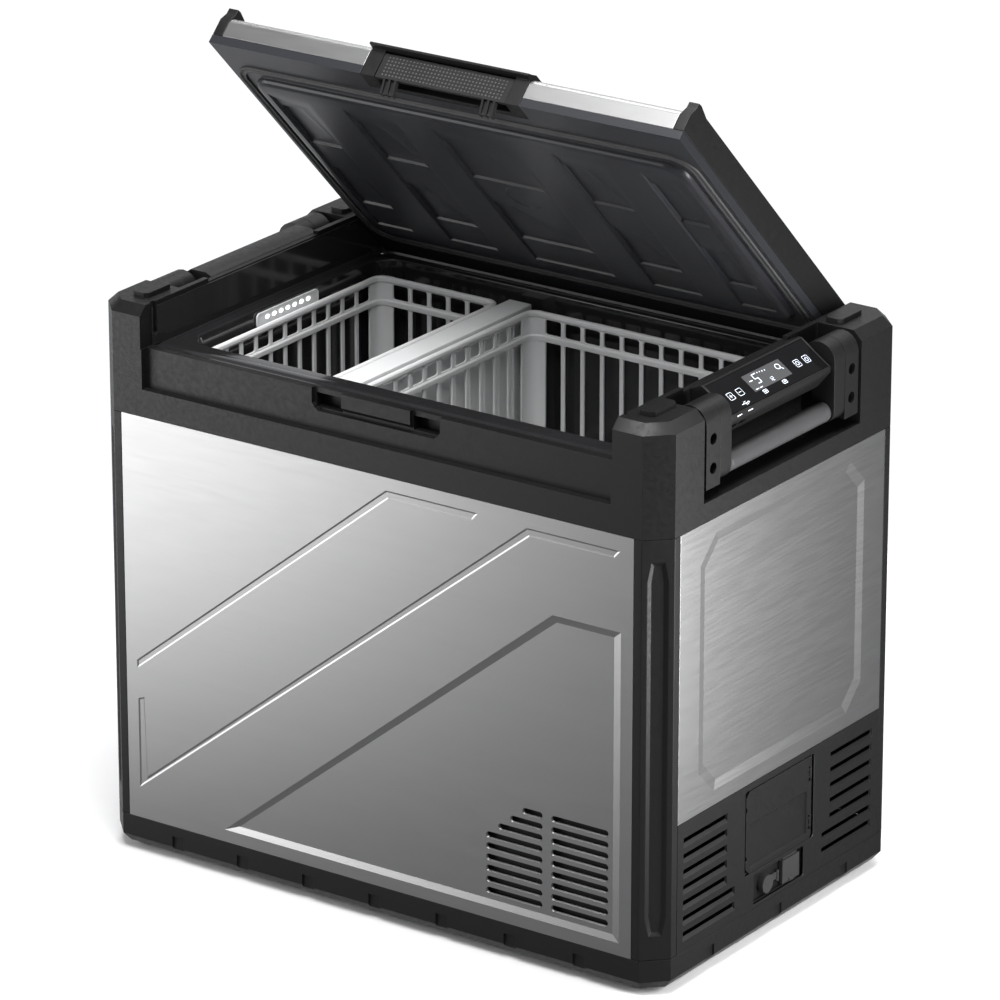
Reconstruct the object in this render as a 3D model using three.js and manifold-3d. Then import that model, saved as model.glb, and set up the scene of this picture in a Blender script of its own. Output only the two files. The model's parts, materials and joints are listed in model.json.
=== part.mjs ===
// Compressor cooler fridge: a steel-clad box with a stepped tub, a hinged lid with a latch, two swinging carry
// handles, a control console, a battery door and the refrigeration parts in a machine bay.
// Millimetres, +Z up, front towards -Y. The origin is on the floor, under the middle of the body.
import * as THREE from "three";
import { mergeVertices } from "three/addons/utils/BufferGeometryUtils.js";
import Module from "manifold-3d";

const wasm = await Module();
wasm.setup();

// ---------------------------------------------------------------- driving dimensions
const WIDTH = 690;
const DEPTH = 435;
const CHAMFER = 23; // vertical corner chamfer, measured along each side
const GAP = 0.3; // clearance between neighbouring pieces
const FAR = 1000; // reaches past everything

const HALF_W = WIDTH / 2;
const FRONT = -DEPTH / 2;
const BACK = DEPTH / 2;

// Heights from the floor.
const TRAY_BOTTOM = 5;
const SKIRT_BOTTOM = 15.6;
const PANEL_BOTTOM = 38.7;
const VENT_TOP = 177.1;
const PANEL_TOP = 480.8;
const RECESS_FLOOR = 501;
const STEP_LEDGE = 510;
const SEAT = 550.3;
const DECK = 552.4;
const RIM_TOP = 597;
const RIM_BEVEL = 10;
const RIM_DIP = 3.5; // the middle of each side rim is lower by this
const PAD_HEIGHT = 5.4;

// Plan sizes.
const SHEET = 2;
const PANEL_HALF_W = 312.7;
const SIDE_PANEL_Y = 184.7; // half length of the side panels
const RIM_INNER = 286.7; // inner face of the side rims
const RIM_WALL = 6;
const RECESS_Y0 = -145;
const RECESS_Y1 = 137;

// Tub.
const WALL = 3;
const MOUTH_X = 268.5;
const MOUTH_Y0 = -163.8;
const MOUTH_Y1 = 170.1;
const TUB_RADIUS = 27;
const TUB_FLOOR = 80;
const STEP_FLOOR = 240;
const STEP_X = 90;
const DECK_Y0 = -199.7;
const DECK_Y1 = 176; // the hinge trough is behind this

// Lid, drawn closed about its hinge axis and then turned open.
const HINGE_Y = 193.1;
const HINGE_Z = 562.7;
const LID_OPEN = THREE.MathUtils.degToRad(45.3);
const LID_HALF_W = 283.5;
const LID_FRONT = -409;
const LID_REAR = 12;
const LID_UNDER = -10;
const LID_TOP = LID_UNDER + 40;
const LID_SEAM = LID_UNDER + 9.3;
const CAP_WIDTH = 12;
const LATCH_HALF_W = 95.5;
const PADDLE_HALF_W = 78;
const LATCH_DEPTH = 25;
const LATCH_PIN_U = LID_FRONT + 4.5;
const LATCH_PIN_W = LID_UNDER + 24.5;

// Carry handles.
const HANDLE_Y0 = -140;
const HANDLE_Y1 = 133;
const PIVOT_X = 325;
const PIVOT_Z = 577.7;
const KNUCKLE_R = 19;
const HANDLE_BOTTOM = 512.7;
const BRACKET_LENGTH = 24.3;
const ARM_LENGTH = 19.5;
const BAR_R = 10.5;
const BAR_X = 330.7;
const BAR_Z = 524;

// ---------------------------------------------------------------- materials
function paint(color, roughness, metalness = 0) {
  return new THREE.MeshStandardMaterial({ color, roughness, metalness });
}

const MATERIALS = {
  steel: paint(0xb9babb, 0.32, 1),
  body: paint(0x2d2d2f, 0.62),
  gloss: paint(0x0b0b0d, 0.12),
  rubber: paint(0x1d1d1f, 0.85),
  gasket: paint(0x4a4b4d, 0.7),
  glass: paint(0x060607, 0.05),
  basket: paint(0xd9dadb, 0.5),
  lamp: paint(0xf2f4f5, 0.35),
  foam: paint(0xe6dfc4, 0.9),
  aluminium: paint(0xb4b7ba, 0.45, 1),
  copper: paint(0xb87348, 0.35, 1),
  black_metal: paint(0x18181a, 0.45, 0.6),
  board: paint(0x1f5a38, 0.6),
};

// ---------------------------------------------------------------- solids
function solid(geometry) {
  const bare = geometry.clone();
  bare.deleteAttribute("normal");
  bare.deleteAttribute("uv");
  const merged = mergeVertices(bare, 1e-4);
  return new wasm.Manifold(
    new wasm.Mesh({
      numProp: 3,
      vertProperties: new Float32Array(merged.attributes.position.array),
      triVerts: new Uint32Array(merged.index.array),
    }),
  );
}

function block(x0, x1, y0, y1, z0, z1) {
  const geometry = new THREE.BoxGeometry(x1 - x0, y1 - y0, z1 - z0);
  geometry.translate((x0 + x1) / 2, (y0 + y1) / 2, (z0 + z1) / 2);
  return solid(geometry);
}

function extrusion(points, depth) {
  const shape = new THREE.Shape(points.map(([a, b]) => new THREE.Vector2(a, b)));
  return new THREE.ExtrudeGeometry(shape, { depth, bevelEnabled: false });
}

// Prism along Z of an outline in (x, y).
function prismZ(points, z0, z1) {
  return solid(extrusion(points, z1 - z0).translate(0, 0, z0));
}

// Prism along X of an outline in (y, z).
function prismX(points, x0, x1) {
  const turn = new THREE.Matrix4().set(0, 0, 1, x0, 1, 0, 0, 0, 0, 1, 0, 0, 0, 0, 0, 1);
  return solid(extrusion(points, x1 - x0).applyMatrix4(turn));
}

// Prism along Y of an outline in (x, z).
function prismY(points, y0, y1) {
  const turn = new THREE.Matrix4().set(0, 1, 0, 0, 0, 0, 1, y0, 1, 0, 0, 0, 0, 0, 0, 1);
  const swapped = points.map(([x, z]) => [z, x]);
  return solid(extrusion(swapped, y1 - y0).applyMatrix4(turn));
}

// Cylinder along an axis ("x", "y" or "z"), from a to b, centred on the other two coordinates in X, Y, Z order.
function rod(axis, radius, a, b, c0, c1, sides = 16) {
  const geometry = new THREE.CylinderGeometry(radius, radius, b - a, sides);
  if (axis === "x") geometry.rotateZ(-Math.PI / 2).translate((a + b) / 2, c0, c1);
  if (axis === "y") geometry.translate(c0, (a + b) / 2, c1);
  if (axis === "z") geometry.rotateX(Math.PI / 2).translate(c0, c1, (a + b) / 2);
  return solid(geometry);
}

function join(first, ...others) {
  return others.reduce((sum, piece) => sum.add(piece), first);
}

function cut(first, ...others) {
  return others.reduce((rest, piece) => rest.subtract(piece), first);
}

function mirrored(outline) {
  return outline.map(([a, b]) => [-a, b]).reverse();
}

// Points of an arc, angles in degrees, ends included.
function arc(cx, cy, rx, ry, from, to, steps) {
  return Array.from({ length: steps + 1 }, (_, i) => {
    const t = THREE.MathUtils.degToRad(from + ((to - from) * i) / steps);
    return [cx + rx * Math.cos(t), cy + ry * Math.sin(t)];
  });
}

function roundRect(x0, x1, y0, y1, r, steps = 3) {
  return [
    ...arc(x1 - r, y0 + r, r, r, -90, 0, steps),
    ...arc(x1 - r, y1 - r, r, r, 0, 90, steps),
    ...arc(x0 + r, y1 - r, r, r, 90, 180, steps),
    ...arc(x0 + r, y0 + r, r, r, 180, 270, steps),
  ];
}

// The body's outline in plan, drawn in by some millimetres.
function bodyOutline(inset = 0) {
  const w = HALF_W - inset;
  const d = BACK - inset;
  const c = CHAMFER - inset * 0.586;
  return [
    [-w + c, -d],
    [w - c, -d],
    [w, -d + c],
    [w, d - c],
    [w - c, d],
    [-w + c, d],
    [-w, d - c],
    [-w, -d + c],
  ];
}

const fridge = new THREE.Group();
const lid = new THREE.Group();
lid.position.set(0, HINGE_Y, HINGE_Z);
lid.rotation.x = -LID_OPEN;
fridge.add(lid);

function place(name, piece, material, group = fridge) {
  const { vertProperties, triVerts } = piece.getMesh();
  const geometry = new THREE.BufferGeometry();
  geometry.setAttribute("position", new THREE.BufferAttribute(new Float32Array(vertProperties), 3));
  geometry.setIndex(new THREE.BufferAttribute(new Uint32Array(triVerts), 1));
  geometry.computeVertexNormals();
  const mesh = new THREE.Mesh(geometry, MATERIALS[material]);
  mesh.name = name;
  group.add(mesh);
}

// ---------------------------------------------------------------- base
const NOTCH_PITCH_FRONT = 83.5;
const NOTCH_PITCH_SIDE = 123;

// Wedges that take an edge off every side of the body's outline: the profile is (inwards, height).
function edgeWedges(profile) {
  return bodyOutline().map((a, i, all) => {
    const b = all[(i + 1) % all.length];
    const turn = Math.atan2(b[1] - a[1], b[0] - a[0]);
    const spot = new THREE.Matrix4().makeRotationZ(turn).setPosition(a[0], a[1], 0);
    return prismX(profile, -FAR, FAR).transform(spot.elements);
  });
}

function baseTray() {
  const taper = 9;
  const floor = 6;
  const wall = 5;
  const notchHalf = 7;
  const notchTop = 26.8;
  const underside = [
    [-1, TRAY_BOTTOM - 1],
    [taper + 1, TRAY_BOTTOM - 1],
    [-1, SKIRT_BOTTOM + 1],
  ];
  const hull = prismZ(bodyOutline(), TRAY_BOTTOM, PANEL_BOTTOM - GAP);
  const inside = prismZ(bodyOutline(wall + taper), TRAY_BOTTOM + floor, SKIRT_BOTTOM + 4);
  const insideTop = prismZ(bodyOutline(wall), SKIRT_BOTTOM + 3, FAR);
  const notches = [];
  for (let i = -3; i <= 3; i++) {
    const x = i * NOTCH_PITCH_FRONT;
    for (const y of [FRONT, BACK]) {
      notches.push(block(x - notchHalf, x + notchHalf, y - 2.5, y + 2.5, 0, notchTop));
    }
  }
  for (let i = -1; i <= 1; i++) {
    const y = i * NOTCH_PITCH_SIDE - 1;
    for (const x of [-HALF_W, HALF_W]) {
      notches.push(block(x - 2.5, x + 2.5, y - notchHalf, y + notchHalf, 0, notchTop));
    }
  }
  return cut(hull, ...edgeWedges(underside), inside, insideTop, ...notches);
}

function foot(x, y) {
  const profile = [
    [0, 0],
    [15, 0],
    [17, 2],
    [17, TRAY_BOTTOM - GAP],
    [0, TRAY_BOTTOM - GAP],
  ];
  const geometry = new THREE.LatheGeometry(
    profile.map(([r, h]) => new THREE.Vector2(r, h)),
    20,
  );
  return solid(geometry.rotateX(Math.PI / 2).translate(x, y, 0));
}

// ---------------------------------------------------------------- cladding
const VENT_ROWS = 9;
const VENT_TOP_ROW = 164.3;
const VENT_PITCH = 12;
const VENT_COLUMNS = [
  [138.4, 204.7],
  [216.9, 283.4],
];
const VENT_STEP = 14.6; // the left column's top rows start later, one step each
const FACET = [
  [-189, 52],
  [298.5, 52],
  [298.5, 380.6],
  [218, 380.6],
];
const FACET_INNER = [
  [-171, 59],
  [289.5, 59],
  [289.5, 373],
  [221.7, 373],
];

function frontPanel() {
  const pressing = 3;
  const face = prismY(
    [
      [-PANEL_HALF_W, PANEL_BOTTOM],
      [PANEL_HALF_W, PANEL_BOTTOM],
      [PANEL_HALF_W, PANEL_TOP - GAP],
      [-PANEL_HALF_W, PANEL_TOP - GAP],
    ],
    FRONT,
    FRONT + SHEET,
  );
  const pan = prismY(FACET, FRONT, FRONT + SHEET + pressing);
  const hollow = prismY(FACET_INNER, FRONT - 1, FRONT + pressing);
  const slots = [];
  for (let row = 0; row < VENT_ROWS; row++) {
    const z = VENT_TOP_ROW - row * VENT_PITCH;
    VENT_COLUMNS.forEach(([x0, x1], column) => {
      const late = column === 0 ? Math.max(0, 3 - row) * VENT_STEP : 0;
      slots.push(block(x0 + late, x1, FRONT - 1, FRONT + 9, z - 3, z + 3));
    });
  }
  return cut(face.add(pan), hollow, ...slots);
}

// A rectangle with its corners cut off.
function octagon(x0, x1, y0, y1, c) {
  return [
    [x0 + c, y0],
    [x1 - c, y0],
    [x1, y0 + c],
    [x1, y1 - c],
    [x1 - c, y1],
    [x0 + c, y1],
    [x0, y1 - c],
    [x0, y0 + c],
  ];
}

// A steel side panel with a dished octagonal field.
function sidePanel(side, bottom) {
  const dish = 2.5;
  const border = 10;
  const field = { y0: -149, y1: 147.6, z0: 193.3, z1: 465, corner: 20 };
  const outline = [
    [-SIDE_PANEL_Y, bottom],
    [SIDE_PANEL_Y, bottom],
    [SIDE_PANEL_Y, PANEL_TOP - GAP],
    [-SIDE_PANEL_Y, PANEL_TOP - GAP],
  ];
  const x = (a, b) => (side > 0 ? [HALF_W - b, HALF_W - a] : [-HALF_W + a, -HALF_W + b]);
  const ring = (o) =>
    octagon(field.y0 + o, field.y1 - o, field.z0 + o, field.z1 - o, field.corner - 0.586 * o);
  const face = prismX(outline, ...x(0, SHEET));
  const pan = prismX(ring(0), ...x(0, SHEET + dish));
  return cut(face.add(pan), prismX(ring(border), ...x(-1, dish)));
}

function rearPanel() {
  const face = block(-PANEL_HALF_W, PANEL_HALF_W, BACK - SHEET, BACK, PANEL_BOTTOM, PANEL_TOP - GAP);
  const slots = [];
  for (let row = 0; row < 6; row++) {
    const z = 80 + row * 16;
    slots.push(block(150, 280, BACK - 5, BACK + 1, z, z + 7));
  }
  return cut(face, ...slots);
}

// Corner post: an angle that wraps the chamfer, with a long shallow eight-sided recess in the chamfer face.
function cornerPost(sx, sy) {
  const t = 6;
  const c = CHAMFER;
  const y1 = BACK - SIDE_PANEL_Y - GAP;
  const x1 = HALF_W - PANEL_HALF_W - GAP;
  const outline = [
    [-x1, 0],
    [-c, 0],
    [0, c],
    [0, y1],
    [-t, y1],
    [-t, c + 2],
    [-c - 2, t],
    [-x1, t],
  ];
  const post = prismZ(
    outline.map(([x, y]) => [HALF_W + x, FRONT + y]),
    PANEL_BOTTOM,
    PANEL_TOP - GAP,
  );
  const recess = prismX(
    [
      [-9, 83],
      [-6, 63.9],
      [6, 63.9],
      [9, 83],
      [9, 438],
      [6, 457.4],
      [-6, 457.4],
      [-9, 438],
    ],
    -1,
    2.2,
  );
  const spot = new THREE.Matrix4()
    .makeRotationZ(THREE.MathUtils.degToRad(135))
    .setPosition(HALF_W - c / 2, FRONT + c / 2, 0);
  const shaped = post.subtract(recess.transform(spot.elements));
  const flip = new THREE.Matrix4().makeScale(sx, sy, 1);
  return shaped.transform(flip.elements);
}

// ---------------------------------------------------------------- right ventilation panel, battery bay, sockets
const SIDE_VENTS = 7;
const SIDE_VENT_TOP = 155.7;
const SIDE_VENT_PITCH = 16.75;
const DOOR = { y0: -61.8, y1: 61.2, z0: 79.5, z1: 169.1, hingeX: HALF_W - 2.5, hingeY: 59.7 };
const SOCKET = { y0: -45.7, y1: 45.4, z0: 42.4, z1: 74.1, depth: 8 };
const DC_PLUG = { y: -18.8, z: 55.5, r: 9.7, hingeY: 5 };
const INLET = { y0: 10, y1: 41, z0: 44, z1: 69.5 };
const COVER_HINGE_X = HALF_W - 5.2;

function sideVentPanel() {
  const t = 4;
  const x0 = HALF_W - t;
  const bayX = 296;
  const wall = 2.5;
  const play = 0.9;
  const face = block(x0, HALF_W, -SIDE_PANEL_Y, SIDE_PANEL_Y, PANEL_BOTTOM, VENT_TOP);
  const bay = block(bayX, x0 + 1, DOOR.y0 - 4, DOOR.y1 + 4, DOOR.z0 - 2.5, DOOR.z1 + 3);
  const bayInside = block(
    bayX + wall,
    FAR,
    DOOR.y0 - play,
    DOOR.y1 + play,
    DOOR.z0 - GAP,
    DOOR.z1 + GAP,
  );
  const socketHole = block(x0 - 1, FAR, SOCKET.y0, SOCKET.y1, SOCKET.z0, SOCKET.z1);
  const slots = [];
  for (let row = 0; row < SIDE_VENTS; row++) {
    const z = SIDE_VENT_TOP - row * SIDE_VENT_PITCH;
    const longer = row > 4 ? 14.5 : 0;
    slots.push(block(x0 - 1, FAR, -173.2, -96.5 + longer, z - 3.3, z + 3.3));
    slots.push(block(x0 - 1, FAR, 94.4 - longer, 171.3, z - 3.3, z + 3.3));
  }
  return cut(face.add(bay), bayInside, socketHole, ...slots);
}

// A door with a raised upper field, a flatter lower field and two hinge barrels on its rear edge.
function batteryDoor() {
  const edge = DOOR.y1 - 2.4;
  const split = 136;
  const leaf = block(HALF_W - 4, HALF_W - 1, DOOR.y0, edge, DOOR.z0, DOOR.z1);
  const upper = block(HALF_W - 2, HALF_W, DOOR.y0 + 1, edge - 3, split, DOOR.z1 - 1);
  const lower = block(HALF_W - 2, HALF_W - 0.4, DOOR.y0 + 1, edge - 3, DOOR.z0 + 1, split - 3);
  const barrels = [97, 150].map((z) => rod("z", 1.5, z - 7, z + 7, DOOR.hingeX, DOOR.hingeY, 10));
  const grip = block(HALF_W - 3, FAR, DOOR.y0 - 1, DOOR.y0 + 3, 100, 147);
  return cut(join(leaf, upper, lower, ...barrels), grip);
}

function socketBlock() {
  const front = HALF_W - 4 - GAP;
  const face = HALF_W - SOCKET.depth;
  const cup = block(face - 22, front, SOCKET.y0 - 2, SOCKET.y1 + 2, SOCKET.z0 - 2, SOCKET.z1 + 2);
  const recess = block(face, FAR, SOCKET.y0, SOCKET.y1, SOCKET.z0, SOCKET.z1);
  const round = rod("x", 7, face - 14, FAR, DC_PLUG.y, DC_PLUG.z, 16);
  const inlet = block(face - 14, FAR, INLET.y0 + 4, INLET.y1 - 4, INLET.z0 + 4, INLET.z1 - 4);
  return cut(cup, recess, round, inlet);
}

// Rubber plug cover on a strap that turns about a short upright barrel.
function dcCover() {
  const x0 = HALF_W - SOCKET.depth + GAP;
  const { y, z, r, hingeY } = DC_PLUG;
  const cap = rod("x", r, x0, HALF_W - 0.6, y, z, 20);
  const strap = block(x0, x0 + 2.4, y, hingeY, z - 4, z + 4);
  const barrel = rod("z", 1.7, z - 6, z + 6, COVER_HINGE_X, hingeY, 10);
  return join(cap, strap, barrel);
}

// Flat cover that lifts about a barrel along its top edge.
function inletCover() {
  const x0 = HALF_W - SOCKET.depth + GAP;
  const { y0, y1, z0, z1 } = INLET;
  const leaf = block(x0, HALF_W - 2, y0, y1, z0, z1);
  const lip = block(x0 + 2, HALF_W - 0.5, y0 + 11, y1 - 11, z0, z0 + 4);
  const barrel = rod("y", 1.5, y0 + 3, y1 - 3, COVER_HINGE_X, z1 + 1, 10);
  return join(leaf, lip, barrel);
}

// ---------------------------------------------------------------- upper frame
// Wedge that carries the console on the right; the left rim has the same wedge in one piece with the frame.
const WEDGE_Y = [-91.5, 86.9];
const WEDGE = [
  [RIM_INNER + RIM_WALL, 593.8],
  [303, 598.4],
  [306, 598.4],
  [341, 574.4],
  [341, 568.5],
  [325, 549.4],
  [RIM_INNER + RIM_WALL, 549.4],
];
// The left rim has no console, so its wedge keeps a broader flat top.
const LEFT_WEDGE = WEDGE.map(([x, z]) => [x === 306 ? 317 : x, z === 574.4 ? 582 : z]);
const RECEIVER = { halfX: 78, z0: 529.4, depth: 4.7, corner: 7, plateX: 42, plateZ: 538 };
const CATCH = { x0: 43, x1: 75, z0: 532, z1: 547, depth: 12 };
const WALL_FACE = FRONT + 8.2; // the front wall stands back from the corner blocks
const POST_X = 285.5; // inner edge of the corner blocks on the front
const PIN_R = 4;
const KEYHOLE = { y: -195.3, z: 566, half: 3.2, radius: 4.2 }; // slot in each side rim, open at the top
const TROUGH_Z = 545;

function cornerPads() {
  const pads = [];
  for (const sx of [-1, 1]) {
    for (const y of [-171, 163]) {
      const outline = roundRect(297, 317, y - 21, y + 21, 4, 1);
      pads.push(prismZ(sx > 0 ? outline : mirrored(outline), RIM_TOP - 1, RIM_TOP + PAD_HEIGHT));
    }
  }
  return pads;
}

// The latch receiver: a shallow recess with its lower corners cut off, a flush plate with a sloping foot in its
// middle, and a window for each hook.
function latchReceiver() {
  const { halfX, z0, depth, corner, plateX, plateZ } = RECEIVER;
  const outline = [
    [-halfX + corner, z0],
    [halfX - corner, z0],
    [halfX, z0 + corner],
    [halfX, FAR],
    [-halfX, FAR],
    [-halfX, z0 + corner],
  ];
  const plate = prismX(
    [
      [WALL_FACE, plateZ],
      [WALL_FACE + depth + 1, plateZ - 5.5],
      [WALL_FACE + depth + 1, FAR],
      [WALL_FACE, FAR],
    ],
    -plateX,
    plateX,
  );
  const recess = prismY(outline, FRONT - 1, WALL_FACE + depth).subtract(plate);
  const windows = [-1, 1].map((s) => {
    const [x0, x1] = [s * CATCH.x0, s * CATCH.x1].sort((a, b) => a - b);
    return block(x0, x1, FRONT, WALL_FACE + depth + CATCH.depth, CATCH.z0, CATCH.z1);
  });
  return join(recess, ...windows);
}

// A slot that ends in a round hole, cut across x0 to x1 of a side rim.
function keyhole(s, x0, x1) {
  const [a, b] = [s * x0, s * x1].sort((p, q) => p - q);
  const { y, z, half, radius } = KEYHOLE;
  return join(block(a, b, y - half, y + half, z, FAR), rod("x", radius, a, b, y, z, 16));
}

// The space for the handle in one side of the frame, and the dip in the rim above it.
function handleRecess(s) {
  const span = (a, b) => [s * a, s * b].sort((p, q) => p - q);
  const [x0, x1] = span(RIM_INNER + RIM_WALL, FAR);
  const [d0, d1] = span(RIM_INNER - 1, FAR);
  const dip = block(d0, d1, -104, 82, RIM_TOP - RIM_DIP, FAR);
  const recess = block(x0, x1, RECESS_Y0, RECESS_Y1, RECESS_FLOOR, FAR);
  return s > 0 ? recess.add(dip) : join(recess, dip).subtract(prismY(mirrored(LEFT_WEDGE), ...WEDGE_Y));
}

// Hollows of the shell, open below: behind the front and rear walls, under the deck and inside the corner blocks.
function frameHollow() {
  const ringOut = prismZ(bodyOutline(5), 0, RECESS_FLOOR - 5);
  const margin = WALL + 7;
  const ringIn = prismZ(
    roundRect(-MOUTH_X - margin, MOUTH_X + margin, MOUTH_Y0 - margin, MOUTH_Y1 + margin, TUB_RADIUS + 8),
    0,
    FAR,
  );
  const frontHollow = block(-270, 270, -188, MOUTH_Y0 - margin, 0, 540);
  const rearHollow = block(-270, 270, MOUTH_Y1 + margin, 211, 0, 538);
  const ends = [-1, 1].flatMap((sx) => {
    const [x0, x1] = [sx * 299, sx * 335].sort((a, b) => a - b);
    return [
      block(x0, x1, RECESS_Y1 + 5, BACK - 22, 0, RIM_TOP - 14),
      block(x0, x1, FRONT + 22, RECESS_Y0 - 5, 0, RIM_TOP - 14),
    ];
  });
  return join(ringOut.subtract(ringIn), frontHollow, rearHollow, ...ends);
}

function upperFrame() {
  const margin = WALL + 3;
  const opening = prismZ(
    roundRect(-MOUTH_X - margin, MOUTH_X + margin, MOUTH_Y0 - margin, MOUTH_Y1 + margin, TUB_RADIUS + 5),
    0,
    FAR,
  );
  const bevel = [
    [-1, RIM_TOP - RIM_BEVEL - 1],
    [RIM_BEVEL + 1, RIM_TOP + 1],
    [-1, RIM_TOP + 1],
  ];
  const lidBay = block(-RIM_INNER, RIM_INNER, -FAR, FAR, DECK, FAR);
  const trough = block(-RIM_INNER, RIM_INNER, DECK_Y1 + GAP, FAR, TROUGH_Z, FAR);
  const deckSeat = block(
    -RIM_INNER,
    RIM_INNER,
    DECK_Y0 - GAP,
    DECK_Y1 + GAP + 1,
    SEAT - WALL - GAP,
    FAR,
  );
  const wallStep = block(-POST_X, POST_X, FRONT - 1, WALL_FACE, STEP_LEDGE, FAR);
  const hull = cut(prismZ(bodyOutline(), PANEL_TOP, RIM_TOP), ...edgeWedges(bevel));
  const pinBores = [-1, 1].map((s) => {
    const [x0, x1] = [s * (RIM_INNER - 5), s * (RIM_INNER + 12 + GAP)].sort((a, b) => a - b);
    return rod("x", PIN_R + GAP, x0, x1, HINGE_Y, HINGE_Z, 14);
  });
  return cut(
    join(hull, ...cornerPads()),
    lidBay,
    opening,
    trough,
    deckSeat,
    wallStep,
    latchReceiver(),
    handleRecess(-1),
    handleRecess(1),
    keyhole(-1, RIM_INNER - 1, RIM_INNER + 3),
    keyhole(1, RIM_INNER - 1, RIM_INNER + 3),
    ...pinBores,
    frameHollow(),
  );
}

// ---------------------------------------------------------------- tub
// The tub, its glossy deck round the mouth with a sunken seat for the gasket, and a cheek up each side rim.
function tubLiner() {
  const outer = (x1) =>
    roundRect(-MOUTH_X - WALL, x1 + WALL, MOUTH_Y0 - WALL, MOUTH_Y1 + WALL, TUB_RADIUS + WALL);
  const inner = (x1) => roundRect(-MOUTH_X, x1, MOUTH_Y0, MOUTH_Y1, TUB_RADIUS);
  const shell = join(
    prismZ(outer(MOUTH_X), STEP_FLOOR - WALL, SEAT),
    prismZ(outer(STEP_X), TUB_FLOOR - WALL, STEP_FLOOR + 50),
  );
  const deckX = RIM_INNER - GAP;
  const deck = block(-deckX, deckX, DECK_Y0, DECK_Y1, SEAT - WALL, DECK);
  const seatX = LID_HALF_W - 3;
  const seat = prismZ(roundRect(-seatX, seatX, MOUTH_Y0 - 16, FAR, 20), SEAT, FAR);
  const cheekThick = 2;
  const cheeks = [-1, 1].map((s) => {
    const [x0, x1] = [s * (deckX - cheekThick), s * deckX].sort((a, b) => a - b);
    const cheek = block(x0, x1, DECK_Y0, HINGE_Y + 12, SEAT - 1, RIM_TOP - RIM_DIP - 1);
    const pinHole = rod("x", PIN_R + GAP, x0 - 1, x1 + 1, HINGE_Y, HINGE_Z, 14);
    return cut(cheek, pinHole, keyhole(s, deckX - cheekThick - 1, deckX + 1));
  });
  const space = join(
    prismZ(inner(MOUTH_X), STEP_FLOOR, FAR),
    prismZ(inner(STEP_X), TUB_FLOOR, STEP_FLOOR + 60),
  );
  return cut(join(shell, deck.subtract(seat), ...cheeks), space);
}

const MACHINE_BAY = { x0: 104, z1: 222 };

function foamCore() {
  const clear = 0.6;
  const sleeve = 3;
  const hull = prismZ(bodyOutline(8), PANEL_BOTTOM + 2, PANEL_TOP - 2);
  const out = WALL + sleeve + clear;
  const well = (right, floor) =>
    block(-MOUTH_X - out, right + out, MOUTH_Y0 - out, MOUTH_Y1 + out, floor - WALL - clear, FAR);
  const bay = block(MACHINE_BAY.x0, FAR, -FAR, FAR, 0, MACHINE_BAY.z1);
  return cut(hull, well(STEP_X, TUB_FLOOR), well(MOUTH_X, STEP_FLOOR), bay);
}

// Roll-bond plate wrapped round the deep part of the tub.
function evaporator() {
  const z0 = TUB_FLOOR + 15;
  const z1 = MACHINE_BAY.z1;
  const off = WALL + GAP;
  const out = off + 1.8;
  const ring = (o) =>
    roundRect(-MOUTH_X - o, STEP_X + o, MOUTH_Y0 - o, MOUTH_Y1 + o, TUB_RADIUS + o);
  return prismZ(ring(out), z0, z1).subtract(prismZ(ring(off), 0, FAR));
}

function lampLens() {
  const outline = roundRect(-51, 54, 530.5, 547, 5, 3);
  return prismX(outline, -MOUTH_X + GAP, -MOUTH_X + GAP + 2.6);
}

// ---------------------------------------------------------------- baskets and divider
const BASKET_TOP = 536.9;
const BASKET_Y0 = -155.2;
const BASKET_Y1 = 152.9;
const BASKET_WALL = 3;

// Openings in the long and short walls of a basket, on a regular grid between two heights.
function basketWindows(x0, x1, z0, z1, columnsX, columnsY, rows) {
  const rib = 9;
  const windows = [];
  const step = (z1 - z0) / rows;
  for (let row = 0; row < rows; row++) {
    const low = z0 + row * step + rib / 2;
    const high = z0 + (row + 1) * step - rib / 2;
    const dx = (x1 - x0) / columnsX;
    for (let i = 0; i < columnsX; i++) {
      windows.push(block(x0 + i * dx + rib / 2, x0 + (i + 1) * dx - rib / 2, -FAR, FAR, low, high));
    }
    const dy = (BASKET_Y1 - BASKET_Y0 - 30) / columnsY;
    for (let i = 0; i < columnsY; i++) {
      const y0 = BASKET_Y0 + 15 + i * dy;
      windows.push(block(x0 - 40, x1 + 40, y0 + rib / 2, y0 + dy - rib / 2, low, high));
    }
  }
  return windows;
}

// A basket from its tiers, lowest first; each is [x0, x1, z0, z1] and opens into the one above.
function basket(tiers, windows) {
  const corner = 14;
  const plan = ([x0, x1], o) => roundRect(x0 + o, x1 - o, BASKET_Y0 + o, BASKET_Y1 - o, corner - o);
  const body = join(...tiers.map((t) => prismZ(plan(t, 0), t[2], t[3])));
  const room = join(
    ...tiers.map((t) => prismZ(plan(t, BASKET_WALL), t[2] + BASKET_WALL, t[3] + 2 * BASKET_WALL)),
  );
  return cut(body, room, ...windows);
}

function leftBasket() {
  const x0 = -260.9;
  const x1 = -103.1;
  const z0 = TUB_FLOOR + 1;
  const windows = basketWindows(x0 + 12, x1 - 12, z0 + 20, BASKET_TOP - 14, 2, 3, 2);
  return basket([[x0, x1, z0, BASKET_TOP]], windows);
}

function rightBasket() {
  const x0 = -66.6;
  const x1 = 260.9;
  const wellX = STEP_X - 6;
  const z0 = TUB_FLOOR + 1;
  const z1 = STEP_FLOOR + 1;
  const upper = basketWindows(x0 + 12, x1 - 12, z1 + 20, BASKET_TOP - 14, 3, 3, 1);
  const lower = basketWindows(x0 + 12, wellX - 12, z0 + 15, z1 - 12, 2, 3, 1);
  const tiers = [
    [x0, wellX, z0, z1],
    [x0, x1, z1, BASKET_TOP],
  ];
  return basket(tiers, [...upper, ...lower]);
}

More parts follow.
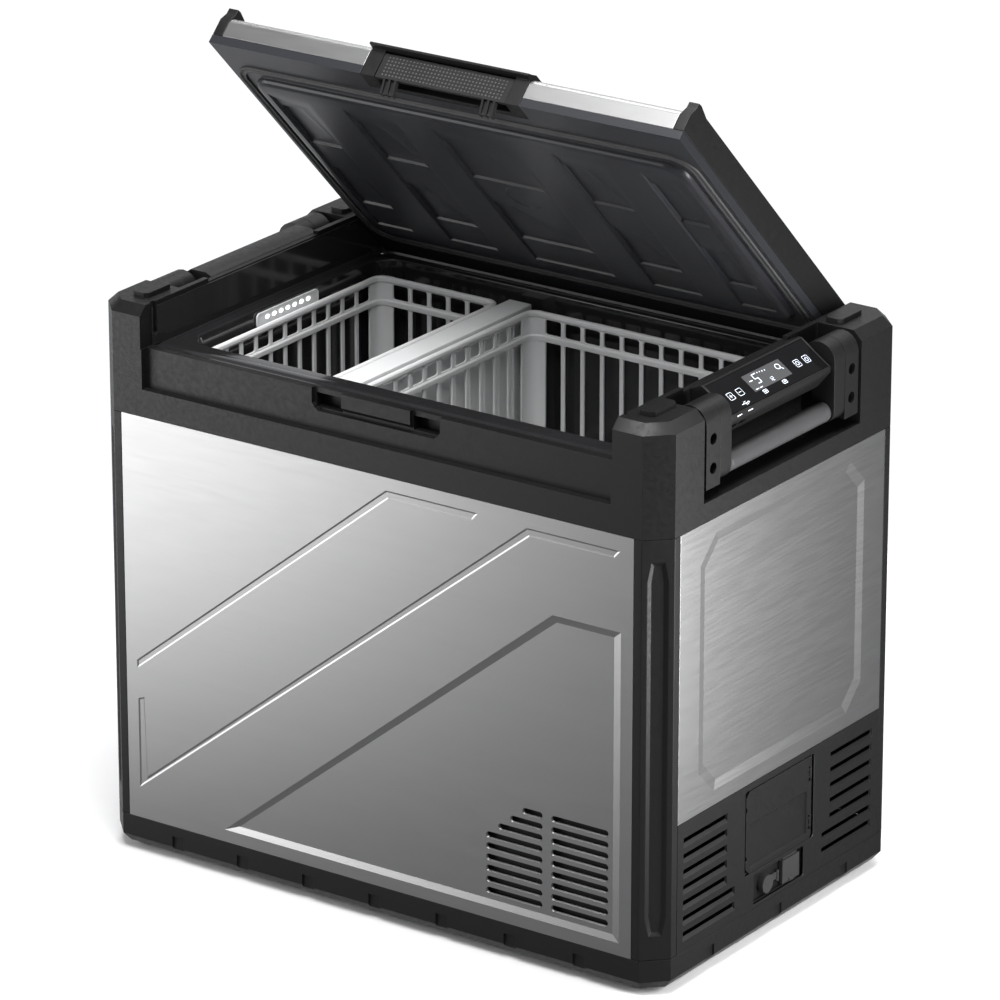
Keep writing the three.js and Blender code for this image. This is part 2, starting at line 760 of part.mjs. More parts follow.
function divider() {
  const slab = block(-98.8, -70.9, -158.4, 160.5, TUB_FLOOR + 1, BASKET_TOP + 1);
  const slots = [];
  for (let i = 0; i < 4; i++) {
    const z = 140 + i * 95;
    slots.push(block(-FAR, FAR, -110, 112, z, z + 30));
  }
  return cut(slab, ...slots);
}

// ---------------------------------------------------------------- control console
const GLASS_FROM = [307.1, 597]; // upper edge of the sloping glass, x and z
const GLASS_TO = [339.3, 575];
const GLASS_Y = [-88.6, 84.2];
const GLASS_THICK = 2.4;
const GLASS_LENGTH = Math.hypot(GLASS_TO[0] - GLASS_FROM[0], GLASS_TO[1] - GLASS_FROM[1]);
const KEY_SPOTS = [-69, -53, 50, 66];
const KEY_SIZE = 10;
const KEY_ROW = 2; // how far the keys' middle is below the middle of the glass
const USB = { x0: 314, y0: -82, y1: -50, z0: 552, z1: 563 };

// Moves a solid drawn on the XY plane (x down the slope, y along the rim, z out of the face) to the console's face.
function onConsole(piece) {
  const slope = Math.atan2(GLASS_FROM[1] - GLASS_TO[1], GLASS_TO[0] - GLASS_FROM[0]);
  const spot = new THREE.Matrix4()
    .makeRotationY(slope)
    .setPosition((GLASS_FROM[0] + GLASS_TO[0]) / 2, 0, (GLASS_FROM[1] + GLASS_TO[1]) / 2);
  return piece.transform(spot.elements);
}

function consoleWedge(inset) {
  return prismY(
    WEDGE.map(([x, z]) => [x < 300 ? x + GAP : x - inset, z]),
    ...WEDGE_Y,
  );
}

function consoleHousing() {
  const [y0, y1] = GLASS_Y;
  const half = GLASS_LENGTH / 2 + GAP;
  const glassSeat = onConsole(block(-half, half, y0 - GAP, y1 + GAP, -GLASS_THICK - GAP, 9));
  const wires = onConsole(block(-10, 10, y0 + 8, y1 - 8, -10, 0));
  const usbPocket = block(USB.x0, FAR, USB.y0, USB.y1, USB.z0, USB.z1);
  return cut(consoleWedge(0), glassSeat, wires, usbPocket);
}

function displayGlass() {
  const half = GLASS_LENGTH / 2;
  const plate = block(-half, half, ...GLASS_Y, -GLASS_THICK, 0);
  const h = KEY_SIZE / 2;
  const holes = KEY_SPOTS.map((y) => block(KEY_ROW - h, KEY_ROW + h, y - h, y + h, -FAR, FAR));
  return onConsole(cut(plate, ...holes));
}

function key(y) {
  const h = KEY_SIZE / 2 - GAP;
  return onConsole(block(KEY_ROW - h, KEY_ROW + h, y - h, y + h, -GLASS_THICK - 1, 0));
}

function usbPorts() {
  const { x0, y0, y1, z0, z1 } = USB;
  const body = block(x0 + GAP, FAR, y0 + GAP, y1 - GAP, z0 + GAP, z1 - GAP).intersect(consoleWedge(0.4));
  const ports = [-73.5, -58.5].map((y) => block(x0 + 6, FAR, y - 5.5, y + 5.5, 555.5, 559.5));
  return cut(body, ...ports);
}

// ---------------------------------------------------------------- carry handles
// A handle end is placed by its side (sx) and by which end of the recess it is at (front or rear).
function handleEnd(sx, rear) {
  const from = rear ? HANDLE_Y1 : HANDLE_Y0;
  const into = rear ? -1 : 1;
  const span = (a, b) => [from + into * a, from + into * b].sort((p, q) => p - q);
  const side = (outline) => (sx > 0 ? outline : mirrored(outline));
  return { span, side, pivot: sx * PIVOT_X };
}

const PEG_R = 6;
const PEG_DEPTH = 13;

// A fixed bracket with a rounded knuckle, two screw holes and a blind bore for the arm's peg.
function bracket(sx, rear) {
  const { span, side, pivot } = handleEnd(sx, rear);
  const back = RIM_INNER + RIM_WALL + GAP;
  const outer = PIVOT_X + KNUCKLE_R;
  const inner = PIVOT_X - KNUCKLE_R;
  const outline = [
    [back, HANDLE_BOTTOM],
    [outer, HANDLE_BOTTOM],
    ...arc(PIVOT_X, PIVOT_Z, KNUCKLE_R, KNUCKLE_R, 0, 180, 10),
    [inner, 562.4],
    [back, 562.4],
  ];
  const [y0, y1] = span(0, BRACKET_LENGTH);
  const [b0, b1] = span(BRACKET_LENGTH - PEG_DEPTH, BRACKET_LENGTH + 1);
  const [x0, x1] = [sx * (outer - 7), sx * FAR].sort((a, b) => a - b);
  const holes = [532.6, 562.7].map((z) => rod("x", 5.9, x0, x1, (y0 + y1) / 2, z, 12));
  return cut(prismY(side(outline), y0, y1), rod("y", PEG_R + GAP, b0, b1, pivot, PIVOT_Z, 12), ...holes);
}

// A swinging arm: the same knuckle with a peg, and a rounded lower end round the grip bar.
function arm(sx, rear) {
  const { span, side, pivot } = handleEnd(sx, rear);
  const outer = PIVOT_X + KNUCKLE_R;
  const inner = PIVOT_X - KNUCKLE_R;
  const endR = outer - BAR_X;
  const outline = [
    ...arc(BAR_X, HANDLE_BOTTOM + endR, endR, endR, 180, 360, 8),
    ...arc(PIVOT_X, PIVOT_Z, KNUCKLE_R, KNUCKLE_R, 0, 180, 10),
    [inner, 566],
    [BAR_X - endR, 542],
  ];
  const [y0, y1] = span(BRACKET_LENGTH + GAP, BRACKET_LENGTH + GAP + ARM_LENGTH);
  const [b0, b1] = span(BRACKET_LENGTH - PEG_DEPTH + 1, BRACKET_LENGTH + 5);
  return prismY(side(outline), y0, y1).add(rod("y", PEG_R, b0, b1, pivot, PIVOT_Z, 12));
}

function gripBar(sx) {
  const ends = BRACKET_LENGTH + ARM_LENGTH + 2 * GAP;
  return rod("y", BAR_R, HANDLE_Y0 + ends, HANDLE_Y1 - ends, sx * BAR_X, BAR_Z, 20);
}

// ---------------------------------------------------------------- lid, drawn closed: u runs rearwards, w up
const COVER_HALF_W = LID_HALF_W - CAP_WIDTH - GAP;
const FRONT_CURVE = { start: LID_UNDER + 25, run: 24 };
const COVER_TOP = LID_TOP - 3;
const REAR_CHAMFER = 8;
const PLUG = { x: 262, u0: -353, u1: -42, drop: 6, radius: 24 };
const LIP = { x: 278, u0: -371, u1: -17.6, width: 3, drop: 2 };

function lidSlab(z0, z1) {
  return block(-LID_HALF_W, LID_HALF_W, LID_FRONT, LID_REAR, z0, z1);
}

// The opening that the latch housing fills in the liner and the cover.
function latchSpace() {
  const x = LATCH_HALF_W + GAP;
  return block(-x, x, -FAR, LID_FRONT + LATCH_DEPTH + GAP, -FAR, FAR);
}

// The blind bore for a hinge pin, half in the end cap and half in the liner.
function pinBore(side) {
  const ends = [side * (LID_HALF_W - CAP_WIDTH + 2), side * (LID_HALF_W + 1)].sort((a, b) => a - b);
  return rod("x", PIN_R + GAP, ...ends, 0, 0, 14);
}

// The liner: a flat pan with a raised panel that fills the tub's mouth, hollow above for the foam.
function lidLiner() {
  const skin = 3;
  const plug = prismZ(
    roundRect(-PLUG.x, PLUG.x, PLUG.u0, PLUG.u1, PLUG.radius, 4),
    LID_UNDER - PLUG.drop,
    LID_UNDER + 2,
  );
  const pocket = block(-264, 264, LID_FRONT + 32, LID_REAR - 24, LID_UNDER + skin, FAR);
  const plugPocket = block(
    -PLUG.x + 12,
    PLUG.x - 12,
    PLUG.u0 + 12,
    PLUG.u1 - 12,
    LID_UNDER - PLUG.drop + skin,
    FAR,
  );
  const channel = prismZ(lipOutline(-GAP), LID_UNDER - 1, LID_UNDER + 1.3).subtract(
    prismZ(lipOutline(9 + GAP), -FAR, FAR),
  );
  const slab = lidSlab(LID_UNDER, LID_SEAM).add(plug);
  return cut(slab, pocket, plugPocket, channel, latchSpace(), pinBore(-1), pinBore(1));
}

function lipOutline(inset) {
  return roundRect(-LIP.x + inset, LIP.x - inset, LIP.u0 + inset, LIP.u1 - inset, 30 - inset, 4);
}

// The gasket: a flat web with two lips, seated in the liner's channel.
function lidGasket() {
  const ring = (from, to, z0, z1) => prismZ(lipOutline(from), z0, z1).subtract(prismZ(lipOutline(to), -FAR, FAR));
  const web = ring(0, 9, LID_UNDER, LID_UNDER + 1);
  const outerLip = ring(0, LIP.width, LID_UNDER - LIP.drop, LID_UNDER + 1);
  const innerLip = ring(9 - LIP.width, 9, LID_UNDER - LIP.drop, LID_UNDER + 1);
  return join(web, outerLip, innerLip);
}

function coverOutline(inset) {
  const f = LID_FRONT + inset;
  const t = COVER_TOP - inset;
  const r = LID_REAR - inset;
  const low = LID_SEAM + (inset > 0 ? -5 : GAP);
  const curve = arc(
    f + FRONT_CURVE.run,
    FRONT_CURVE.start,
    FRONT_CURVE.run,
    t - FRONT_CURVE.start,
    90,
    180,
    7,
  );
  return [[r, low], [r, t - REAR_CHAMFER], [r - REAR_CHAMFER, t], ...curve, [f, low]];
}

function lidCover() {
  const sheet = prismX(coverOutline(0), -COVER_HALF_W, COVER_HALF_W);
  return cut(sheet, prismX(coverOutline(SHEET), -FAR, FAR), latchSpace());
}

// An end cap with a raised ear at its front; the hinge pin turns in its blind bore.
function lidCap(side) {
  const f = LID_FRONT;
  const h = LID_UNDER;
  const outline = [
    [f, LID_SEAM + GAP],
    [LID_REAR, LID_SEAM + GAP],
    [LID_REAR, LID_TOP - REAR_CHAMFER],
    [LID_REAR - REAR_CHAMFER, LID_TOP],
    [f + 27, h + 40],
    [f + 18, h + 42.4],
    [f + 10.2, h + 44.3],
    [f + 5, h + 43.8],
    [f + 4.8, h + 37.2],
    [f, h + 27.9],
  ];
  const [x0, x1] = [side * (LID_HALF_W - CAP_WIDTH), side * LID_HALF_W].sort((a, b) => a - b);
  return cut(prismX(outline, x0, x1), pinBore(side));
}

function hingePin(side) {
  const ends = [side * (LID_HALF_W - CAP_WIDTH + 2 + 2 * GAP), side * (RIM_INNER + 12)].sort((a, b) => a - b);
  return rod("x", PIN_R, ends[0], ends[1], HINGE_Y, HINGE_Z, 14);
}

function lidFoam() {
  const top = COVER_TOP - SHEET - 0.6;
  return block(-262, 262, LID_FRONT + 46, LID_REAR - 26, LID_UNDER + 3.6, top);
}

// The housing on the lid's front: a block with an overhanging lip and a pocket for the paddle.
function latchHousing() {
  const f = LID_FRONT;
  const h = LID_UNDER;
  const outline = [
    [f, h],
    [f + LATCH_DEPTH, h],
    [f + LATCH_DEPTH, h + 38.8],
    [f + 6, h + 38.8],
    [f - 2, h + 35],
    [f - 7.8, h + 32.9],
    [f - 7.8, h + 30.6],
    [f, h + 29.6],
  ];
  const x = PADDLE_HALF_W + 0.6;
  const pocket = block(-x, x, -FAR, f + 18, -FAR, h + 29.6);
  const pin = rod("x", 2 + GAP, -PADDLE_HALF_W - 6, PADDLE_HALF_W + 6, LATCH_PIN_U, LATCH_PIN_W, 10);
  return cut(prismX(outline, -LATCH_HALF_W, LATCH_HALF_W), pocket, pin);
}

// The paddle: a grip plate on a barrel, and two hooks of three ribs each on a thin back.
function latchPaddle() {
  const f = LID_FRONT;
  const h = LID_UNDER;
  const hookX = 59.5;
  const hookHalf = 8;
  const rib = 2.4;
  const hook = (reach) => [
    [f + 1, h + 6],
    [f + 1, h + 1],
    [f + 7, h - 13.5],
    [f + 10 + reach, h - 13.5],
    [f + 10 + reach, h - 10.5],
    [f + 10, h - 8.5],
    [f + 5, h + 6],
  ];
  const plate = block(-PADDLE_HALF_W, PADDLE_HALF_W, f + 1, f + 5, h + 0.6, h + 27.6);
  const barrel = rod("x", 4, -PADDLE_HALF_W, PADDLE_HALF_W, LATCH_PIN_U, LATCH_PIN_W, 12);
  const hooks = [-hookX, hookX].flatMap((x) => {
    const ribs = [-hookHalf, -rib / 2, hookHalf - rib].map((dx) => prismX(hook(3), x + dx, x + dx + rib));
    const back = prismX(hook(0), x - hookHalf, x + hookHalf);
    const carve = prismX(
      hook(0).map(([u, w]) => [u - 2.4, w - 1]),
      x - hookHalf + rib,
      x + hookHalf - rib,
    );
    return [back.subtract(carve), ...ribs];
  });
  const bore = rod("x", 2 + GAP, -FAR, FAR, LATCH_PIN_U, LATCH_PIN_W, 10);
  return cut(join(plate, barrel, ...hooks), bore);
}

function latchPin() {
  return rod("x", 2, -PADDLE_HALF_W - 5, PADDLE_HALF_W + 5, LATCH_PIN_U, LATCH_PIN_W, 10);
}

// ---------------------------------------------------------------- machine bay
const FAN = { x: 210, y0: -158, y1: -133, z: 125, r: 56 };

function compressor() {
  const profile = [
    [0, 0],
    [46, 0],
    [54, 8],
    [56, 30],
    [56, 80],
    [50, 100],
    [34, 113],
    [0, 118],
  ];
  const geometry = new THREE.LatheGeometry(
    profile.map(([r, z]) => new THREE.Vector2(r, z)),
    24,
  );
  const can = solid(geometry.rotateX(Math.PI / 2).translate(190, 70, 42));
  const feet = block(128, 252, 50, 90, TRAY_BOTTOM + 6 + GAP, 50);
  return can.add(feet);
}

function condenser() {
  const core = block(140, 282, -196, -168, 58, 196);
  const fins = [];
  for (let i = 0; i < 7; i++) {
    const x = 150 + i * 19;
    fins.push(block(x, x + 8, -FAR, -190, 64, 190));
  }
  return cut(core, ...fins);
}

function fanShroud() {
  const frame = block(FAN.x - 62, FAN.x + 62, FAN.y0, FAN.y1, FAN.z - 62, FAN.z + 62);
  const hole = rod("y", FAN.r + 2, FAN.y0 + 3, FAN.y1 + 1, FAN.x, FAN.z, 28);
  const inlet = rod("y", FAN.r - 2, FAN.y0 - 1, FAN.y0 + 4, FAN.x, FAN.z, 28);
  const spider = [
    block(FAN.x - 60, FAN.x + 60, FAN.y0, FAN.y0 + 3, FAN.z - 3, FAN.z + 3),
    block(FAN.x - 3, FAN.x + 3, FAN.y0, FAN.y0 + 3, FAN.z - 60, FAN.z + 60),
    rod("y", 16, FAN.y0, FAN.y0 + 3, FAN.x, FAN.z, 16),
  ];
  return join(cut(frame, hole, inlet), ...spider);
}

function fanRotor() {
  const hub = rod("y", 20, FAN.y0 + 4, FAN.y1 - 2, FAN.x, FAN.z, 20);
  const blades = [];
  for (let i = 0; i < 7; i++) {
    const geometry = new THREE.BoxGeometry(FAN.r - 18, 2, 24)
      .rotateX(THREE.MathUtils.degToRad(40))
      .translate((FAN.r + 14) / 2, 0, 0)
      .rotateY((i * 2 * Math.PI) / 7)
      .translate(FAN.x, (FAN.y0 + FAN.y1) / 2 + 1, FAN.z);
    blades.push(solid(geometry));
  }
  return join(hub, ...blades);
}

function refrigerantLine() {
  const path = new THREE.CatmullRomCurve3(
    [
      [150, 9, 120],
      [150, -20, 140],
      [132, -60, 170],
      [128, -110, 205],
      [150, -160, 210],
      [160, -182, 200],
    ].map(([x, y, z]) => new THREE.Vector3(x, y, z)),
  );
  const section = new THREE.Shape(arc(0, 0, 3.2, 3.2, 0, 315, 7).map(([a, b]) => new THREE.Vector2(a, b)));
  return solid(new THREE.ExtrudeGeometry(section, { steps: 26, extrudePath: path, bevelEnabled: false }));
}

function controlBoard() {
  const plate = block(240, 242, 110, 190, 70, 170);
  const parts = [
    block(241, 262, 118, 140, 80, 110),
    block(241, 256, 150, 182, 84, 100),
    block(241, 254, 122, 150, 126, 160),
    rod("x", 8, 241, 268, 170, 140, 12),
  ];
  return join(plate, ...parts);
}

// ---------------------------------------------------------------- assembly
place("base_tray", baseTray(), "body");
place("foot_front_left", foot(-305, FRONT + 32), "rubber");
place("foot_front_right", foot(305, FRONT + 32), "rubber");
place("foot_rear_left", foot(-305, BACK - 32), "rubber");
place("foot_rear_right", foot(305, BACK - 32), "rubber");
place("front_panel", frontPanel(), "steel");
place("rear_panel", rearPanel(), "body");
place("left_side_panel", sidePanel(-1, PANEL_BOTTOM), "steel");
place("right_side_panel", sidePanel(1, VENT_TOP + GAP), "steel");
place("corner_post_front_left", cornerPost(-1, 1), "body");
place("corner_post_front_right", cornerPost(1, 1), "body");
place("corner_post_rear_left", cornerPost(-1, -1), "body");
place("corner_post_rear_right", cornerPost(1, -1), "body");
place("side_vent_panel", sideVentPanel(), "body");
place("upper_frame", upperFrame(), "body");
place("tub_liner", tubLiner(), "gloss");
place("foam_core", foamCore(), "foam");
place("evaporator", evaporator(), "aluminium");
place("lamp_lens", lampLens(), "lamp");
place("battery_door", batteryDoor(), "body");
place("socket_block", socketBlock(), "body");
place("dc_socket_cover", dcCover(), "rubber");
place("inlet_cover", inletCover(), "rubber");
place("console_housing", consoleHousing(), "body");
place("display_glass", displayGlass(), "glass");
["key_up", "key_down", "key_mode", "key_power"].forEach((name, i) => place(name, key(KEY_SPOTS[i]), "glass"));
place("usb_ports", usbPorts(), "body");
for (const [sideName, sx] of [
  ["left", -1],
  ["right", 1],
]) {
  for (const [endName, rear] of [
    ["front", false],
    ["rear", true],
  ]) {
    place(`handle_bracket_${sideName}_${endName}`, bracket(sx, rear), "body");
    place(`handle_arm_${sideName}_${endName}`, arm(sx, rear), "body");
  }
  place(`handle_bar_${sideName}`, gripBar(sx), "body");
  place(`hinge_pin_${sideName}`, hingePin(sx), "steel");
  place(`lid_cap_${sideName}`, lidCap(sx), "body", lid);
}
place("lid_cover", lidCover(), "steel", lid);
place("lid_liner", lidLiner(), "gloss", lid);
place("lid_gasket", lidGasket(), "gasket", lid);
place("lid_foam", lidFoam(), "foam", lid);
place("latch_housing", latchHousing(), "body", lid);
place("latch_paddle", latchPaddle(), "body", lid);
place("latch_pin", latchPin(), "steel", lid);
place("basket_left", leftBasket(), "basket");
place("basket_right", rightBasket(), "basket");
place("divider", divider(), "basket");
place("compressor", compressor(), "black_metal");
place("condenser", condenser(), "aluminium");
place("fan_shroud", fanShroud(), "body");
place("fan_rotor", fanRotor(), "body");
place("refrigerant_line", refrigerantLine(), "copper");
place("control_board", controlBoard(), "board");

export default fridge;
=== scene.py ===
"""Looks of a compressor cooler fridge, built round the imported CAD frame.

The frame is in metres, +Z up, front towards -Y.
Shapes here are drawn in millimetres, and mesh_piece scales them.
"""

import json
import math

import bmesh
import bpy
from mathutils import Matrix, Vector
from mathutils.geometry import delaunay_2d_cdt


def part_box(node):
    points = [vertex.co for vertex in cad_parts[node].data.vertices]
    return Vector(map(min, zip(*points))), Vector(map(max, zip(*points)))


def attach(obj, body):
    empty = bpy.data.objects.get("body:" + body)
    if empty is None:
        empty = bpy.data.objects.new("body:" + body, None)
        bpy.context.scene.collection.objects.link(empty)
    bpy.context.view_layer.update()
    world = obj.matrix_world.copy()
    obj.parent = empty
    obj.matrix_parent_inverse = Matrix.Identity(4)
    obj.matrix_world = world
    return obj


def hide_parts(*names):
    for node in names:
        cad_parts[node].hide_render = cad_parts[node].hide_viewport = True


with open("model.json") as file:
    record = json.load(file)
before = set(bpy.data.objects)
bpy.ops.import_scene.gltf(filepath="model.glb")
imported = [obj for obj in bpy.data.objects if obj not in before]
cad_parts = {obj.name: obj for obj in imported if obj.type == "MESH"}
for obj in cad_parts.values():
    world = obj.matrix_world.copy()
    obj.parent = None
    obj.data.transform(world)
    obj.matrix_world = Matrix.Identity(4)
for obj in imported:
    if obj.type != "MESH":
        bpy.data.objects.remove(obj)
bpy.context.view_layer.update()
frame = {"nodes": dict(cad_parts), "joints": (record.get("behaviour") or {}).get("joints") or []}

MM = 0.001
ROOT = "cabinet"


def box(node):
    """Lowest and highest corner of a CAD node, in millimetres."""
    lo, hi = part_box(node)
    return lo / MM, hi / MM


def joint(name):
    return next(j for j in frame["joints"] if j["name"] == name)


# ---------------------------------------------------------------- driving dimensions, read from the frame
PANEL_LO, PANEL_HI = box("front_panel")
VENT_LO, VENT_HI = box("side_vent_panel")
TUB_LO, TUB_HI = box("tub_liner")
DOOR_LO, DOOR_HI = box("battery_door")
HALF_W = box("upper_frame")[1].x
LID_HINGE = Vector(joint("lid_hinge")["pos_m"]) / MM
LID_OPEN = math.radians(-joint("lid_hinge")["range_deg"][0])
CHAMFER = 23  # of the body's four upright corners
CONSOLE_EDGE = Vector((307.1, 0, 597))  # upper edge of the console's sloping face
CONSOLE_FOOT = Vector((339.3, 0, 575))  # lower edge of the same face


# ---------------------------------------------------------------- camera, stage and light
def camera():
    """The view from the front right, a little above, with a long lens."""
    data = bpy.data.cameras.new("camera")
    data.lens = 233.23
    data.sensor_width = 36
    obj = bpy.data.objects.new("camera", data)
    obj.location = (3.5520, -5.0321, 2.6966)
    obj.rotation_euler = (math.radians(90 - 20.56), 0, math.radians(35.2))
    bpy.context.scene.collection.objects.link(obj)
    bpy.context.scene.camera = obj


def area_light(name, location, target, size, power, tint=(1, 1, 1)):
    data = bpy.data.lights.new(name, "AREA")
    data.shape = "RECTANGLE"
    data.size, data.size_y = size
    data.energy = power
    data.color = tint
    obj = bpy.data.objects.new(name, data)
    obj.location = location
    obj.visible_camera = False
    aim = Vector(target) - Vector(location)
    obj.rotation_euler = aim.to_track_quat("-Z", "Y").to_euler()
    bpy.context.scene.collection.objects.link(obj)


def studio_world():
    """A soft grey surround that turns white behind the object, by direction in the room."""
    world = bpy.data.worlds.new("studio")
    world.use_nodes = True
    tree = world.node_tree
    coords = tree.nodes.new("ShaderNodeTexCoord")
    dot = tree.nodes.new("ShaderNodeVectorMath")
    dot.operation = "DOT_PRODUCT"
    dot.inputs[1].default_value = Vector((-0.54, 0.765, -0.35)).normalized()
    ramp = tree.nodes.new("ShaderNodeMapRange")
    ramp.interpolation_type = "SMOOTHSTEP"
    ramp.inputs["From Min"].default_value = 0.62
    ramp.inputs["From Max"].default_value = 0.95
    ramp.inputs["To Min"].default_value = 0.22
    ramp.inputs["To Max"].default_value = 1.06
    background = tree.nodes["Background"]
    background.inputs["Color"].default_value = (0.97, 0.98, 1.0, 1)
    tree.links.new(coords.outputs["Generated"], dot.inputs[0])
    tree.links.new(dot.outputs["Value"], ramp.inputs["Value"])
    tree.links.new(ramp.outputs["Result"], background.inputs["Strength"])
    bpy.context.scene.world = world


def studio():
    """Four soft lights, the grey surround and a pale round floor."""
    bpy.context.scene.view_settings.view_transform = "Standard"
    studio_world()
    area_light("key", (-1.15, -1.05, 0.36), (-0.1, -0.15, 0.30), (1.05, 1.1), 13.5)
    area_light("side", (0.9, 0.0, 0.36), (0.345, -0.08, 0.34), (0.3, 0.6), 8.5)
    area_light("top", (0.28, -0.7, 2.2), (0, 0, 0.5), (1.2, 1.2), 52)
    area_light("rear", (0.0, 0.95, 2.3), (0, 0.6, 0), (2.4, 0.8), 42)
    bpy.ops.mesh.primitive_circle_add(vertices=96, radius=1.0, fill_type="NGON", location=(0, 0, -0.0005))
    floor = bpy.context.object
    floor.name = "floor"
    floor.data.materials.append(MATERIALS["floor"])
    floor.visible_glossy = False  # the steel mirrors the grey surround rather than the white floor


# ---------------------------------------------------------------- materials
def noise_output(tree, scale, detail=3.0, stretch=(1, 1, 1)):
    """A noise in object space; scale is in cycles per metre."""
    coords = tree.nodes.new("ShaderNodeTexCoord")
    mapping = tree.nodes.new("ShaderNodeMapping")
    mapping.inputs["Scale"].default_value = stretch
    noise = tree.nodes.new("ShaderNodeTexNoise")
    noise.inputs["Scale"].default_value = scale
    noise.inputs["Detail"].default_value = detail
    tree.links.new(coords.outputs["Object"], mapping.inputs["Vector"])
    tree.links.new(mapping.outputs["Vector"], noise.inputs["Vector"])
    return noise.outputs["Fac"]


def ranged(tree, source, low, high):
    """A noise spread over a range of values."""
    node = tree.nodes.new("ShaderNodeMapRange")
    node.inputs["From Min"].default_value = 0.3
    node.inputs["From Max"].default_value = 0.7
    node.inputs["To Min"].default_value = low
    node.inputs["To Max"].default_value = high
    tree.links.new(source, node.inputs["Value"])
    return node.outputs["Result"]


def mixed_color(tree, source, dark, light):
    node = tree.nodes.new("ShaderNodeMix")
    node.data_type = "RGBA"
    node.inputs["A"].default_value = (*dark, 1)
    node.inputs["B"].default_value = (*light, 1)
    tree.links.new(source, node.inputs["Factor"])
    return node.outputs["Result"]


def finish(name, color, roughness, metallic=0.0, tint=0.08, tint_scale=30, spread=0.06,
           grain=900, depth=0.00002, stretch=(1, 1, 1), **sockets):
    """A principled surface with colour drift, uneven roughness and a fine raised grain."""
    material = bpy.data.materials.new(name)
    material.use_nodes = True
    tree = material.node_tree
    bsdf = tree.nodes["Principled BSDF"]
    bsdf.inputs["Metallic"].default_value = metallic
    for socket, value in sockets.items():
        bsdf.inputs[socket.replace("_", " ")].default_value = value
    drift = ranged(tree, noise_output(tree, tint_scale, 4, stretch), 0, 1)
    dark = [c * (1 - tint) for c in color]
    light = [min(1, c * (1 + tint)) for c in color]
    tree.links.new(mixed_color(tree, drift, dark, light), bsdf.inputs["Base Color"])
    uneven = noise_output(tree, grain / 6, 3, stretch)
    tree.links.new(ranged(tree, uneven, roughness - spread, roughness + spread), bsdf.inputs["Roughness"])
    bump = tree.nodes.new("ShaderNodeBump")
    bump.inputs["Distance"].default_value = depth
    tree.links.new(noise_output(tree, grain, 2, stretch), bump.inputs["Height"])
    tree.links.new(bump.outputs["Normal"], bsdf.inputs["Normal"])
    return material


def glowing(name, color, strength):
    material = finish(name, color, 0.4, tint=0.03, depth=0.000004)
    bsdf = material.node_tree.nodes["Principled BSDF"]
    bsdf.inputs["Emission Color"].default_value = (*color, 1)
    bsdf.inputs["Emission Strength"].default_value = strength
    return material


MATERIALS = {
    "floor": finish("studio_floor", (0.90, 0.90, 0.905), 0.8, tint=0.005, depth=0.00001),
    "body": finish("charcoal_plastic", (0.0062, 0.0062, 0.0064), 0.48, tint=0.25, tint_scale=1100,
                   grain=1300, depth=0.00004, Specular_IOR_Level=0.33),
    "dark": finish("black_plastic", (0.012, 0.012, 0.012), 0.6, tint=0.1, grain=900,
                   Specular_IOR_Level=0.3),
    "steel": finish("satin_steel", (0.40, 0.40, 0.402), 0.40, 1.0, tint=0.012, tint_scale=90, spread=0.02,
                    grain=2600, depth=0.0000012, stretch=(0.05, 0.05, 1)),
    "gloss": finish("gloss_liner_black", (0.018, 0.018, 0.019), 0.12, tint=0.1, spread=0.02,
                    grain=160, depth=0.000001, Coat_Weight=0.35, Coat_Roughness=0.06),
    "lid_gloss": finish("lid_panel_black", (0.024, 0.025, 0.029), 0.33, tint=0.03, spread=0.008,
                        grain=1500, depth=0.0000006, Specular_IOR_Level=0.4),
    "glass": finish("console_glass", (0.005, 0.005, 0.0055), 0.12, tint=0.1, spread=0.02, grain=120,
                    depth=0.000001, Specular_IOR_Level=0.25),
    "screen": finish("display_window", (0.065, 0.066, 0.068), 0.35, tint=0.04, grain=1500, depth=0.000002,
                     Specular_IOR_Level=0.2),
    "ink": glowing("lit_marks", (0.82, 0.88, 1.0), 0.9),
    "basket": finish("basket_plastic", (0.80, 0.805, 0.81), 0.4, tint=0.02, grain=1100, depth=0.00002),
    "lamp": finish("frosted_lens", (0.74, 0.75, 0.76), 0.4, tint=0.04, grain=1400, depth=0.00002),
    "led": glowing("led_glow", (1.0, 1.0, 1.0), 2.2),
    "rubber": finish("matt_rubber", (0.017, 0.017, 0.018), 0.82, tint=0.15, grain=700, depth=0.00005),
    "gasket": finish("soft_gasket", (0.055, 0.055, 0.057), 0.6, tint=0.1, grain=600, depth=0.00003),
    "bar": finish("satin_grip", (0.055, 0.055, 0.057), 0.36, tint=0.06, grain=900, depth=0.00002),
    "foam": finish("insulating_foam", (0.72, 0.66, 0.46), 0.92, tint=0.12, grain=350, depth=0.0004),
    "aluminium": finish("mill_aluminium", (0.5, 0.505, 0.51), 0.42, 1.0, grain=1500, depth=0.00002,
                        stretch=(1, 1, 0.1)),
    "pin": finish("turned_steel", (0.45, 0.45, 0.46), 0.3, 1.0, grain=2500, depth=0.00001,
                  stretch=(1, 0.1, 0.1)),
    "enamel": finish("black_enamel", (0.014, 0.014, 0.015), 0.28, tint=0.1, grain=250, depth=0.00003),
    "copper": finish("drawn_copper", (0.55, 0.26, 0.13), 0.32, 1.0, tint=0.15, grain=900, depth=0.00002),
    "board": finish("circuit_board", (0.02, 0.12, 0.05), 0.45, tint=0.25, tint_scale=250, grain=900),
}


# ---------------------------------------------------------------- drawing in two dimensions
# Outlines are counter-clockwise lists of (a, b).
def rectangle(x0, x1, y0, y1):
    return [(x0, y0), (x1, y0), (x1, y1), (x0, y1)]


def arc(cx, cy, rx, ry, start, end, steps):
    angles = [math.radians(start + (end - start) * i / steps) for i in range(steps + 1)]
    return [(cx + rx * math.cos(t), cy + ry * math.sin(t)) for t in angles]


